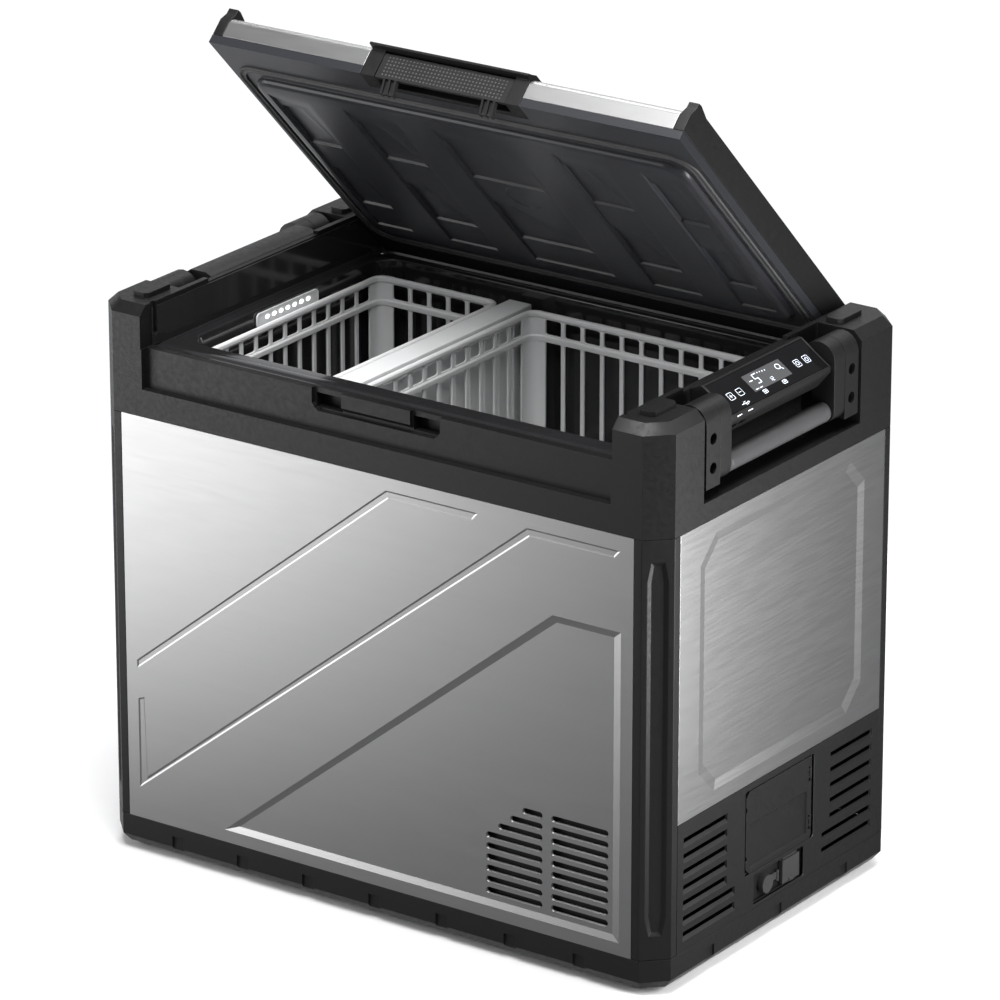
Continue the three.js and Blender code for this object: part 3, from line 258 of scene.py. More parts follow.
def round_rect(x0, x1, y0, y1, r, steps=6):
    return (arc(x1 - r, y0 + r, r, r, -90, 0, steps) + arc(x1 - r, y1 - r, r, r, 0, 90, steps)
            + arc(x0 + r, y1 - r, r, r, 90, 180, steps) + arc(x0 + r, y0 + r, r, r, 180, 270, steps))


def inset(loop, distance):
    """A counter-clockwise loop moved inwards by a distance, with mitred corners."""
    result = []
    for i, point in enumerate(loop):
        here = Vector(point)
        before = (here - Vector(loop[i - 1])).normalized()
        after = (Vector(loop[(i + 1) % len(loop)]) - here).normalized()
        normal = Vector((-before.y - after.y, before.x + after.x))
        scale = 2 * distance / max(normal.length_squared, 0.2)
        result.append(tuple(here + normal * scale))
    return result


def inside(point, loop):
    x, y = point
    odd = False
    for (x0, y0), (x1, y1) in zip(loop, loop[1:] + loop[:1]):
        if (y0 > y) != (y1 > y) and x < (x1 - x0) * (y - y0) / (y1 - y0) + x0:
            odd = not odd
    return odd


# ---------------------------------------------------------------- from flat drawings to faces
# Each gives a function from (a, b, depth into the object) to a point.
def on_front(y):
    return lambda a, b, d: (a, y + d, b)


def on_right(x):
    return lambda a, b, d: (x - d, a, b)


def on_left(x):
    return lambda a, b, d: (-x + d, -a, b)


def on_rear(y):
    return lambda a, b, d: (-a, y - d, b)


def on_floor(z):
    return lambda a, b, d: (a, b, z - d)


def lid_point(x, u, w):
    """A point of the open lid, from its place on the closed one: u behind the hinge axis, w above it."""
    c, s = math.cos(LID_OPEN), math.sin(LID_OPEN)
    return (x, LID_HINGE.y + u * c + w * s, LID_HINGE.z - u * s + w * c)


def on_lid_underside(w):
    return lambda a, b, d: lid_point(a, -b, w + d)


def on_console(s, y, h):
    """A point of the console's sloping face: s down the slope from its middle, y along it, h out of it."""
    down = (CONSOLE_FOOT - CONSOLE_EDGE).normalized()
    out = Vector((-down.z, 0, down.x))
    middle = (CONSOLE_EDGE + CONSOLE_FOOT) / 2
    point = middle + down * s + out * h
    return (point.x, y, point.z)


# ---------------------------------------------------------------- mesh building
def pressed(bm, place, outline, steps=(), holes=()):
    """A sheet drawn flat. Each loop in steps and holes has a depth, and the sheet slopes between them."""
    points, depths, edges = [], [], []
    for loop, depth in [(outline, 0.0), *steps, *holes]:
        first = len(points)
        points += [Vector(p) for p in loop]
        depths += [depth] * len(loop)
        edges += [(first + i, first + (i + 1) % len(loop)) for i in range(len(loop))]
    flat, _, faces, origins, _, _ = delaunay_2d_cdt(points, edges, [], 1, 1e-4)
    verts = []
    for point, sources in zip(flat, origins):
        depth = depths[sources[0]] if sources else 0.0
        verts.append(bm.verts.new(place(point.x, point.y, depth)))
    for face in faces:
        middle = sum((flat[i] for i in face), Vector((0, 0))) / len(face)
        if inside(middle, outline) and not any(inside(middle, hole) for hole, _ in holes):
            bm.faces.new([verts[i] for i in face])
    loose = [v for v in verts if not v.link_faces]
    bmesh.ops.delete(bm, geom=loose, context="VERTS")


def loft(bm, rings, wrap=False, first_cap=False, last_cap=False):
    """Faces between rings that have the same number of points; wrap joins the last ring to the first."""
    rows = [[bm.verts.new(p) for p in ring] for ring in rings]
    pairs = list(zip(rows, rows[1:] + rows[:1])) if wrap else list(zip(rows, rows[1:]))
    for low, high in pairs:
        for i in range(len(low)):
            j = (i + 1) % len(low)
            bm.faces.new((low[i], low[j], high[j], high[i]))
    if first_cap:
        bm.faces.new(rows[0][::-1])
    if last_cap:
        bm.faces.new(rows[-1])


def block(bm, x0, x1, y0, y1, z0, z1):
    rings = [[(x, y, z) for x, y in rectangle(x0, x1, y0, y1)] for z in (z0, z1)]
    loft(bm, rings, first_cap=True, last_cap=True)


def turned(bm, origin, axis, profile, sides=32):
    """A solid of revolution: profile is (distance along the axis, radius), capped at both ends."""
    turn = Vector(axis).to_track_quat("Z", "Y").to_matrix()
    rings = []
    for along, radius in profile:
        circle = [(radius * math.cos(t), radius * math.sin(t), along)
                  for t in (2 * math.pi * i / sides for i in range(sides))]
        rings.append([Vector(origin) + turn @ Vector(p) for p in circle])
    loft(bm, rings, first_cap=True, last_cap=True)


def as_drawn(x, y, z):
    return (x, y, z)


def ring_rail(bm, rect, profile, place=as_drawn, radius=20, steps=6):
    """A closed rail round a rounded rectangle: profile is (inset, height), counter-clockwise."""
    x0, x1, y0, y1 = rect
    rings = []
    for inward, height in profile:
        corner = max(radius - inward, 0.5)
        loop = round_rect(x0 + inward, x1 - inward, y0 + inward, y1 - inward, corner, steps)
        rings.append([place(x, y, height) for x, y in loop])
    loft(bm, rings, wrap=True)


def merge_flat(bm):
    """Joins the triangles of flat areas into larger faces."""
    bmesh.ops.remove_doubles(bm, verts=bm.verts, dist=0.001)
    bmesh.ops.dissolve_limit(bm, angle_limit=0.004, verts=bm.verts, edges=bm.edges)


def soften(obj, bevel, angle, segments=2):
    """Rounded edges and smooth faces that keep flat areas flat."""
    for polygon in obj.data.polygons:
        polygon.use_smooth = True
    if bevel:
        modifier = obj.modifiers.new("edges", "BEVEL")
        modifier.width = bevel * MM
        modifier.segments = segments
        modifier.limit_method = "ANGLE"
        modifier.angle_limit = math.radians(angle)
        modifier.use_clamp_overlap = True
    obj.modifiers.new("normals", "WEIGHTED_NORMAL")


def mesh_piece(name, bm, material, body, replaces=(), thickness=0.0, bevel=0.5, angle=25, segments=2):
    """A drawn mesh as a finished object that rides on a body; thickness makes a sheet solid, inwards."""
    bmesh.ops.scale(bm, vec=(MM, MM, MM), verts=bm.verts)
    mesh = bpy.data.meshes.new(name)
    bm.to_mesh(mesh)
    bm.free()
    obj = bpy.data.objects.new(name, mesh)
    bpy.context.scene.collection.objects.link(obj)
    mesh.materials.append(MATERIALS[material])
    if thickness:
        modifier = obj.modifiers.new("sheet", "SOLIDIFY")
        modifier.thickness = thickness * MM
        modifier.offset = -1
        modifier.use_even_offset = True
    soften(obj, bevel, angle, segments)
    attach(obj, body)
    if replaces:
        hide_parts(*replaces)
    return obj


def cad_finish(node, material, bevel=0.6, angle=40):
    """A CAD node that keeps its shape: its own material, with its edges rounded."""
    obj = frame["nodes"][node]
    obj.data.materials.clear()
    obj.data.materials.append(MATERIALS[material])
    weld = obj.modifiers.new("weld", "WELD")
    weld.merge_threshold = 0.00001
    flat = obj.modifiers.new("flat", "DECIMATE")
    flat.decimate_type = "DISSOLVE"
    flat.angle_limit = math.radians(0.5)
    soften(obj, bevel, angle)


# ---------------------------------------------------------------- steel cladding
FACET = [(-189, 52), (298.5, 52), (298.5, 380.6), (218, 380.6)]
FACET_INNER = [(-171, 59), (289.5, 59), (289.5, 373), (221.7, 373)]
FACET_DEPTH = 2
BANDS = [
    [(-299, 204.5), (20.5, 458.3), (122, 458.3), (129.5, 467), (18, 467), (-299, 213.8)],
    [(-298.5, 72.5), (190.5, 456), (290, 456), (297.4, 464.6), (187.3, 464.6), (-288, 86.6),
     (-290.5, 174.3), (-298.5, 171.5)],
]
FRONT_VENT_COLUMNS = [(138.4, 204.7), (216.9, 283.4)]
FRONT_VENT_ROWS, FRONT_VENT_TOP, FRONT_VENT_PITCH = 9, 164.3, 12
FRONT_VENT_HALF = 2.7  # half the height of a slot
STAGGER = 14.6  # how much later each of the left column's top rows starts


def slot_loops(x0, x1, z0, z1, face_depth, rim=0.9, drop=1.8):
    """A louvre slot: an outer loop on the sheet, and a hole whose edge is turned inwards."""
    radius = (z1 - z0) / 2
    outer = round_rect(x0 - rim, x1 + rim, z0 - rim, z1 + rim, radius + rim - 0.01, 4)
    hole = round_rect(x0, x1, z0, z1, radius - 0.01, 4)
    return (outer, face_depth), (hole, face_depth + drop)


def vent_shade_plate(name, x0, x1, y0, y1, z0, z1):
    """A dark plate behind louvres, painted shade that stands in for the dark inside and keeps the light
    beyond the object out of them.
    """
    bm = bmesh.new()
    block(bm, x0, x1, y0, y1, z0, z1)
    mesh_piece(name, bm, "dark", ROOT, [], 0, 0.3)


def front_panel():
    bm = bmesh.new()
    steps = [(FACET, 0), (FACET_INNER, FACET_DEPTH)]
    for band in BANDS:
        steps += [(band, 0), (inset(band, 1.8), 0.7)]
    holes = []
    for row in range(FRONT_VENT_ROWS):
        z = FRONT_VENT_TOP - FRONT_VENT_PITCH * row
        for column, (x0, x1) in enumerate(FRONT_VENT_COLUMNS):
            late = max(0, 3 - row) * STAGGER if column == 0 else 0
            step, hole = slot_loops(x0 + late, x1, z - FRONT_VENT_HALF, z + FRONT_VENT_HALF, FACET_DEPTH)
            steps.append(step)
            holes.append(hole)
    outline = rectangle(PANEL_LO.x, PANEL_HI.x, PANEL_LO.z, PANEL_HI.z)
    pressed(bm, on_front(PANEL_LO.y), outline, steps, holes)
    merge_flat(bm)
    mesh_piece("front_steel", bm, "steel", ROOT, ["front_panel"], 1.2, 0.45, 12)
    # Painted shade: a dark plate behind the front louvres stands in for the dark inside them.
    vent_shade_plate("front_dust_filter", 134, 288, PANEL_LO.y + 9, PANEL_LO.y + 10.5, 60, 172)


def tapered(middle, half, flat, z0, z1, rise):
    """An upright outline that narrows from half to flat over a rise at each end."""
    half_loop = [(flat, z0), (half, z0 + rise), (half, z1 - rise), (flat, z1)]
    right = [(middle + x, z) for x, z in half_loop]
    left = [(middle - x, z) for x, z in reversed(half_loop)]
    return right + left


def corner_post(end, side):
    """An angle round a chamfered corner, with a long recess with sloping sides in the chamfer."""
    name = f"corner_post_{end}_{side}"
    lo, hi = box(name)
    sx = 1 if side == "right" else -1
    sy = 1 if end == "front" else -1
    front, edge = abs(PANEL_LO.y), HALF_W
    x0 = min(abs(lo.x), abs(hi.x))
    y1 = min(abs(lo.y), abs(hi.y))
    path = [(x0, -front), (edge - CHAMFER, -front), (edge, CHAMFER - front), (edge, -y1)]
    bends = [0.0]
    for (ax, ay), (bx, by) in zip(path, path[1:]):
        bends.append(bends[-1] + math.hypot(bx - ax, by - ay))

    def place(a, b, d):
        i = 0 if a < bends[1] - 1e-6 else 1 if a <= bends[2] + 1e-6 else 2
        start = Vector(path[i])
        tangent = (Vector(path[i + 1]) - start).normalized()
        point = start + tangent * (a - bends[i]) + Vector((-tangent.y, tangent.x)) * d
        return (sx * point.x, sy * point.y, b)

    middle = (bends[1] + bends[2]) / 2
    mouth = tapered(middle, 10.5, 6.5, 63.9, 457.4, 20)
    floor = tapered(middle, 6.2, 3.6, 68, 453.3, 17)
    steps = [(rectangle(bends[1], bends[2], lo.z, hi.z), 0), (mouth, 0), (floor, 2.4)]
    bm = bmesh.new()
    pressed(bm, place, rectangle(0, bends[3], lo.z, hi.z), steps)
    if sx * sy < 0:
        bmesh.ops.reverse_faces(bm, faces=bm.faces)
    merge_flat(bm)
    mesh_piece(f"post_{end}_{side}", bm, "body", ROOT, [name], 4, 0.7, 12)


def octagon(x0, x1, y0, y1, c):
    """A rectangle with its corners cut off at 45 degrees."""
    return [(x0 + c, y0), (x1 - c, y0), (x1, y0 + c), (x1, y1 - c),
            (x1 - c, y1), (x0 + c, y1), (x0, y1 - c), (x0, y0 + c)]


def side_panel(name, node, place, flip):
    """A steel side with a sunk octagonal field."""
    lo, hi = box(node)
    y0, y1 = (-147.6, 149) if flip else (-149, 147.6)
    steps = [(octagon(y0, y1, 193.3, 465, 27), 0), (octagon(y0 + 10, y1 - 10, 203.3, 455, 23), 2.1)]
    bm = bmesh.new()
    pressed(bm, place, rectangle(lo.y, hi.y, lo.z, hi.z), steps)
    merge_flat(bm)
    mesh_piece(name, bm, "steel", ROOT, [node], 1.2, 0.6, 7)


def rear_panel():
    """A plain moulded back with a sunk field and louvres by the machine bay."""
    lo, hi = box("rear_panel")
    dish = octagon(-262, 262, 196, 446, 22)
    steps = [(dish, 0), (inset(dish, 9), 2.5)]
    holes = []
    for row in range(6):
        z = 83.5 + 16 * row
        step, hole = slot_loops(-280, -150, z - 3.5, z + 3.5, 0)
        steps.append(step)
        holes.append(hole)
    bm = bmesh.new()
    pressed(bm, on_rear(hi.y), rectangle(lo.x, hi.x, lo.z, hi.z), steps, holes)
    merge_flat(bm)
    mesh_piece("rear_sheet", bm, "body", ROOT, ["rear_panel"], 1.2, 0.5, 12)
    # Painted shade: a dark plate behind the rear louvres stands in for the dark inside them.
    vent_shade_plate("rear_dust_filter", 146, 284, hi.y - 5.5, hi.y - 4, 76, 176)


# ---------------------------------------------------------------- right ventilation panel
SOCKET = (-45.7, 45.4, 42.4, 74.1)
BARRELS = (97, 150)  # heights of the battery door's hinge barrels and catches
RIDGE = 133  # height of the ridge across the battery door
VENT_ROWS, VENT_TOP, VENT_PITCH = 7, 155.7, 16.75
BAY_DEPTH = 46


def side_vents():
    """The louvred face, and the battery bay behind its door."""
    door = round_rect(DOOR_LO.y - 0.9, DOOR_HI.y + 1.6, DOOR_LO.z - 0.5, DOOR_HI.z + 0.5, 3, 3)
    socket = round_rect(*SOCKET, 2, 3)
    steps = []
    holes = [(door, 0.6), (socket, 0.6)]
    steps.append((inset(door, -1), 0))
    steps.append((inset(socket, -1), 0))
    for row in range(VENT_ROWS):
        z = VENT_TOP - VENT_PITCH * row
        longer = 14.5 if row > 4 else 0
        for y0, y1 in [(-173.2, -96.5 + longer), (94.4 - longer, 171.3)]:
            steps.append((rectangle(y0 - 0.8, y1 + 0.8, z - 5.6, z + 4.4), 0))
            holes.append((rectangle(y0 + 0.4, y1 - 0.4, z - 1.8, z + 4.1), 2.4))
    bm = bmesh.new()
    outline = rectangle(VENT_LO.y, VENT_HI.y, VENT_LO.z, VENT_HI.z)
    pressed(bm, on_right(HALF_W), outline, steps, holes)
    merge_flat(bm)
    mesh_piece("side_vents", bm, "body", ROOT, ["side_vent_panel"], 2.4, 0.4, 20)

    bm = bmesh.new()
    rings = []
    for x, pull, r in [(HALF_W - 2.6, 0, 3), (HALF_W - BAY_DEPTH + 3, 0, 3), (HALF_W - BAY_DEPTH, 3, 5)]:
        loop = round_rect(DOOR_LO.y - 0.9 + pull, DOOR_HI.y + 1.6 - pull,
                          DOOR_LO.z - 0.5 + pull, DOOR_HI.z + 0.5 - pull, r, 3)
        rings.append([(x, y, z) for y, z in loop][::-1])
    loft(bm, rings, last_cap=True)
    for y in (-30, 30):
        block(bm, HALF_W - BAY_DEPTH + 0.2, HALF_W - BAY_DEPTH + 5, y - 4, y + 4, 110, 140)
    mesh_piece("battery_bay", bm, "dark", ROOT, [], 1.5, 0.6, 30)


def battery_door():
    """A moulded leaf with a sunk lower field, notched round its two hinge barrels and its two catches."""
    y0, y1 = DOOR_LO.y, DOOR_HI.y - 3.1
    z0, z1 = DOOR_LO.z, DOOR_HI.z
    outline = [(y0 + 7, z0), (y1 - 3, z0), (y1, z0 + 3)]
    for z in BARRELS:
        outline += [(y1, z - 8), (y1 - 5, z - 8), (y1 - 5, z + 8), (y1, z + 8)]
    outline += [(y1, z1 - 3), (y1 - 3, z1), (y0 + 7, z1), (y0, z1 - 7)]
    for z in BARRELS[::-1]:
        outline += [(y0, z + 3), (y0 + 2, z + 2), (y0 + 2, z - 2), (y0, z - 3)]
    outline += [(y0, z0 + 7)]
    field = [(y0 + 9, z0 + 5), (y1 - 8, z0 + 5), (y1 - 8, RIDGE), (y0 + 4, RIDGE), (y0 + 4, z0 + 10)]
    sunk_top = RIDGE - 2.2
    sunk = [(y0 + 10, z0 + 7), (y1 - 9, z0 + 7), (y1 - 9, sunk_top), (y0 + 5, sunk_top), (y0 + 5, z0 + 12)]
    steps = [(field, 0), (sunk, 1.7)]
    bm = bmesh.new()
    pressed(bm, on_right(HALF_W - 0.1), outline, steps)
    merge_flat(bm)
    pin = Vector(joint("battery_door_hinge")["pos_m"]) / MM
    for z in BARRELS:
        barrel = [(0, 1.2), (0.5, 1.6), (13.5, 1.6), (14, 1.2)]
        turned(bm, (pin.x, pin.y, z - 7), (0, 0, 1), barrel, 16)
        block(bm, pin.x - 0.2, pin.x + 1.3, y1 - 6, pin.y, z - 5, z + 5)
    node = "battery_door"
    mesh_piece("battery_door_leaf", bm, "body", node, [node], 2.6, 0.4, 20)


# ---------------------------------------------------------------- tub, lamp, baskets and divider
STEP_Z = 240
TUB_FLOOR = 80
STEP_X = 90

# Rings of the glossy deck and tub, from the outer edge inwards: half width, front, rear, radius, height.
DECK = [
    (286.4, -199.7, 176.0, 1.5, 552.2),
    (285.9, -197.8, 175.9, 2.0, 552.2),
    (285.4, -196.9, 175.8, 3.0, 550.9),
    (284.6, -193.4, 175.8, 5.0, 550.9),
    (284.1, -192.2, 175.8, 7.0, 551.9),
    (283.4, -190.0, 175.8, 9.0, 552.4),
    (281.8, -182.6, 175.8, 14.0, 552.4),
    (281.0, -180.6, 175.7, 16.0, 551.7),
    (280.4, -179.6, 175.6, 17.0, 550.3),
    (271.2, -166.4, 172.6, 25.0, 550.3),
    (269.3, -164.6, 170.9, 26.4, 549.6),
    (268.5, -163.8, 170.1, 27.0, 547.8),
    (268.5, -163.8, 170.1, 27.0, 520.0),
    (268.5, -163.8, 170.1, 27.0, 400.0),
    (268.5, -163.8, 170.1, 27.0, STEP_Z + 8),
    (266.0, -161.3, 167.6, 24.5, STEP_Z + 2.2),
    (261.0, -156.3, 162.6, 20.0, STEP_Z),
]


def tub():
    """The glossy tub: deck with a raised bead, walls, the step over the machine bay and the deep well."""
    bm = bmesh.new()
    rings = [[(x, y, z) for x, y in round_rect(-half, half, y0, y1, r, 8)] for half, y0, y1, r, z in DECK]
    loft(bm, rings)
    half, y0, y1, r, _ = DECK[-1]
    step_edge = round_rect(-half, half, y0, y1, r, 8)
    well = [
        (-258, STEP_X - 3, -153, 159.6, 17, STEP_Z),
        (-259, STEP_X - 0.5, -154, 160.6, 18, STEP_Z - 1.5),
        (-260, STEP_X, -155, 161.6, 19, STEP_Z - 4),
        (-260, STEP_X, -155, 161.6, 19, TUB_FLOOR + 8),
        (-258, STEP_X - 2, -153, 159.6, 17, TUB_FLOOR + 2),
        (-252, STEP_X - 8, -147, 153.6, 12, TUB_FLOOR),
    ]
    rings = [[(x, y, z) for x, y in round_rect(x0, x1, y0, y1, r, 8)] for x0, x1, y0, y1, r, z in well]
    x0, x1, y0, y1, r, _ = well[0]
    pressed(bm, on_floor(STEP_Z), step_edge, [], [(round_rect(x0, x1, y0, y1, r, 8), 0)])
    loft(bm, rings, last_cap=True)
    bmesh.ops.remove_doubles(bm, verts=bm.verts, dist=0.01)
    for side in (-1, 1):
        cheek(bm, side)
    mesh_piece("tub_gloss", bm, "gloss", ROOT, ["tub_liner"], 1.6, 0.8, 50)


def cheek(bm, side):
    """The glossy plate up the inner face of a side rim, with a keyhole notch near its front."""
    x = side * 284.4
    y0, y1 = TUB_LO.y, TUB_HI.y
    z0, z1 = 551.9, TUB_HI.z
    keyhole = arc(-195.3, 566, 4.2, 4.2, 40, -220, 14)
    loop = [(y0, z0), (y1, z0), (y1, z1 - 4), (y1 - 4, z1), (-192.1, z1)]
    loop += [*keyhole, (-198.5, z1), (y0, z1 - 1.2)]
    wall = [(x, y, z) for y, z in loop]
    bm.faces.new([bm.verts.new(p) for p in (wall if side < 0 else wall[::-1])])


def lamp():
    """The interior lamp: a frosted cover with a row of seven lit ovals."""
    lo, hi = box("lamp_lens")
    bm = bmesh.new()
    outline = round_rect(lo.y, hi.y, lo.z, hi.z, 5, 6)
    place = on_right(hi.x)
    pressed(bm, place, outline, [(inset(outline, 0.8), 0), (inset(outline, 2.0), 0.5)])
    mesh_piece("lamp_cover", bm, "lamp", ROOT, ["lamp_lens"], 2, 0.4, 30)
    bm = bmesh.new()
    middle, pitch = (lo.y + hi.y) / 2, 11.6
    for i in range(-3, 4):
        y, z = middle + i * pitch, (lo.z + hi.z) / 2 + 1.4
        rings = [[(hi.x - 0.7 + out, a, b) for a, b in arc(y, z, 3.4 - pull, 2.3 - pull, 0, 342, 19)]
                 for out, pull in ((0, 0), (0.55, 0), (0.85, 0.5))]
        loft(bm, rings, last_cap=True)
    mesh_piece("lamp_leds", bm, "led", ROOT, [], 0, 0)


def wall_path(x0, x1, y0, y1, r, steps=4):
    """A rounded rectangle in plan with the distance along it: a list of (distance, x, y), closed."""
    loop = round_rect(x0, x1, y0, y1, r, steps)
    path = [(0.0, *loop[0])]
    for (ax, ay), (bx, by) in zip(loop, loop[1:] + loop[:1]):
        path.append((path[-1][0] + math.hypot(bx - ax, by - ay), bx, by))
    return path


def along(path, distance, depth):
    """The point on a wall path at a distance, moved inwards by depth."""
    for (d0, x0, y0), (d1, x1, y1) in zip(path, path[1:]):
        if distance <= d1 + 1e-6:
            t = (distance - d0) / max(d1 - d0, 1e-9)
            tangent = Vector((x1 - x0, y1 - y0)).normalized()
            return (x0 + (x1 - x0) * t - tangent.y * depth, y0 + (y1 - y0) * t + tangent.x * depth)
    return path[-1][1:]


def basket_wall(bm, plan, z0, z1, rows, post, pitch):
    """A wall round the plan, pierced by rows of openings: rows are (low, high), post is the bar between."""
    path = wall_path(*plan, 14)
    total = path[-1][0]
    corners = [i for i in range(1, len(path)) if path[i][0] - path[i - 1][0] > 20]
    holes = []
    for i in corners:
        start, end = path[i - 1][0] + 3, path[i][0] - 3
        count = max(1, round((end - start) / pitch))
        width = (end - start) / count
        for n in range(count):
            a0, a1 = start + n * width + post / 2, start + (n + 1) * width - post / 2
            for low, high in rows:
                holes.append((round_rect(a0, a1, low, high, 2, 2), 0))
    for (d0, _, _), (d1, _, _) in zip(path, path[1:]):
        if d1 - d0 < 0.01:
            continue
        pierced = [hole for hole in holes if d0 < hole[0][0][0] < d1]
        outline = rectangle(d0, min(d1, total), z0, z1)
        pressed(bm, lambda a, b, d: (*along(path, a, d), b), outline, [], pierced)


def basket(name, node, tiers):
    """A moulded basket: pierced walls, a rounded top rail, a second rail under it, and a slotted floor.

    Each tier is (left, right, bottom, top); a second tier stands on the tub's step.
    """
    lo, hi = box(node)
    bm = bmesh.new()
    y0, y1 = lo.y + 1, hi.y - 1
    top = hi.z
    for index, (x0, x1, z0, z1) in enumerate(tiers):
        upper = index == len(tiers) - 1
        plan = (x0 + 1, x1 - 1, y0, y1)
        if upper:
            middle = (z0 + top - 44) / 2
            rows = [(top - 24, top - 8), (middle + 5, top - 32), (z0 + 14, middle - 5)]
            basket_wall(bm, plan, z0, top - 4, rows, 5, 24)
        else:
            basket_wall(bm, plan, z0, z1, [(z0 + 14, z1 - 10)], 8, 24)
    floor_slots(bm, tiers, y0, y1)
    bmesh.ops.remove_doubles(bm, verts=bm.verts, dist=0.01)
    mesh_piece(name, bm, "basket", node, [node], 2.4, 0.5, 35)
    bm = bmesh.new()
    x0, x1, _, _ = tiers[-1]
    top_rail = [(-0.4, top - 7), (3.4, top - 7), (5.0, top - 5.4), (5.0, top - 1.8), (3.6, top), (1.0, top),
                (-0.4, top - 1.6)]
    low_rail = [(-0.2, top - 32), (4.4, top - 32), (4.6, top - 27), (3.4, top - 25.5), (-0.2, top - 25.5)]
    rect = (x0 + 0.4, x1 - 0.4, lo.y + 0.4, hi.y - 0.4)
    ring_rail(bm, rect, top_rail, radius=14)
    ring_rail(bm, rect, low_rail, radius=14)
    mesh_piece(name + "_rails", bm, "basket", node, [], 0, 0.5, 35)


def floor_slots(bm, tiers, y0, y1):
    """The floor of each tier, with two rows of long slots."""
    for index, (x0, x1, z0, _) in enumerate(tiers):
        first = tiers[0][1] + 4 if index else x0 + 1
        outline = rectangle(first, x1 - 1, y0, y1) if index else round_rect(x0 + 1, x1 - 1, y0, y1, 14, 4)
        holes = []
        count = int((x1 - first - 30) / 26)
        for n in range(count):
            a = first + 16 + n * (x1 - first - 32) / count
            for b in (y0 + 20, (y0 + y1) / 2 + 5):
                holes.append((round_rect(a + 3, a + 17, b, b + (y1 - y0) / 2 - 25, 6.5, 4), 0))
        pressed(bm, on_floor(z0 + 2.5), outline, [], holes)


def divider():
    """A hollow dividing wall with a broad flat top, a notch at its front and ribbed sides."""
    lo, hi = box("divider")
    bm = bmesh.new()
    block(bm, lo.x, hi.x, lo.y + 22, hi.y, hi.z - 16, hi.z)
    block(bm, lo.x, hi.x - 9, lo.y, lo.y + 22, hi.z - 16, hi.z)
    block(bm, hi.x - 9, hi.x, lo.y, lo.y + 22, hi.z - 16, hi.z - 7)
    block(bm, lo.x + 3, hi.x - 3, lo.y + 1, hi.y - 1, lo.z, hi.z - 16)
    count = 12
    for n in range(count + 1):
        y = lo.y + 3 + n * (hi.y - lo.y - 10) / count
        block(bm, lo.x, hi.x, y, y + 4, lo.z + 2, hi.z - 16)
    for z in (lo.z, (lo.z + hi.z) / 2):
        block(bm, lo.x, hi.x, lo.y, hi.y, z, z + 7)
    mesh_piece("divider_wall", bm, "basket", "divider", ["divider"], 0, 1.2, 35, 3)


# ---------------------------------------------------------------- console
def stroke(bm, points, width, closed=False, place=on_console, height=0.12):
    """A flat raised line through points on the console's face."""
    loop = [Vector(p) for p in points]
    left, right = [], []
    for i, here in enumerate(loop):
        before = loop[i - 1] if i or closed else here
        after = loop[(i + 1) % len(loop)] if i < len(loop) - 1 or closed else here
        tangent = (after - before).normalized()
        normal = Vector((-tangent.y, tangent.x)) * width / 2
        left.append(here + normal)
        right.append(here - normal)
    spans = len(loop) if closed else len(loop) - 1
    verts = [(bm.verts.new(place(a.x, a.y, height)), bm.verts.new(place(b.x, b.y, height)))
             for a, b in zip(left, right)]
    for i in range(spans):
        (a, b), (c, d) = verts[i], verts[(i + 1) % len(verts)]
        bm.faces.new((a, b, d, c))


SEGMENTS = {  # strokes of a seven-segment digit, on a 1 by 2 grid
    "a": ((0, 2), (1, 2)), "b": ((1, 2), (1, 1)), "c": ((1, 1), (1, 0)), "d": ((0, 0), (1, 0)),
    "e": ((0, 0), (0, 1)), "f": ((0, 1), (0, 2)), "g": ((0, 1), (1, 1)),
}
DIGITS = {"-": "g", "1": "bc", "2": "abged", "5": "afgcd"}


def digits(bm, text, s, y, size, width):
    """Generic seven-segment digits; they read along +y with their feet down the slope."""
    for character in text:
        for name in DIGITS[character]:
            ends = [(s - b * size, y + a * size) for a, b in SEGMENTS[name]]
            stroke(bm, ends, width)
        y += size * 1.75


def display():
    """The display window and its lit marks: a figure, a gauge, dashes and small plain icons."""
    bm = bmesh.new()
    pressed(bm, lambda a, b, d: on_console(a, b, 0.06 - d), round_rect(-11.6, 9.6, -34.6, 31.5, 0.6, 2))
    mesh_piece("display_window", bm, "screen", ROOT, [], 0, 0)
    bm = bmesh.new()
    digits(bm, "-5", 2.6, -30, 5.6, 0.9)
    digits(bm, "12", 7.0, -2.5, 2.3, 0.5)
    stroke(bm, arc(-4.4, 22, 3.0, 3.6, 0, 330, 14), 0.8, True)
    stroke(bm, [(-2.4, 24.4), (0.6, 27.4)], 0.8)
    for n in range(5):
        stroke(bm, [(-9.4 + 0.4 * n, -14 + 4 * n), (-8.2 + 0.4 * n, -14 + 4 * n)], 1.2)
    stroke(bm, [(7.4, -31), (7.4, -26)], 0.9)
    stroke(bm, [(7.4, -24), (7.4, -19)], 0.9)
    for y, half in ((-21.5, 3.2), (13.2, 3.2)):
        stroke(bm, round_rect(13.3 - 2.0, 13.3 + 2.0, y - half, y + half, 0.8, 2), 0.55, True)
        stroke(bm, [(13.3, y - 1.6), (13.3, y + 1.6)], 1.3)
    stroke(bm, [(15.2, -65.5), (15.2, -53)], 0.55)
    stroke(bm, [(15.2, -62.5), (13.2, -60), (13.2, -57.5)], 0.5)
    stroke(bm, [(15.2, -60.5), (17.0, -58.5), (17.0, -56)], 0.5)
    stroke(bm, [(14.2, -54.4), (15.2, -52.6), (16.2, -54.4)], 0.5, True)
    mesh_piece("display_marks", bm, "ink", ROOT, [], 0, 0)


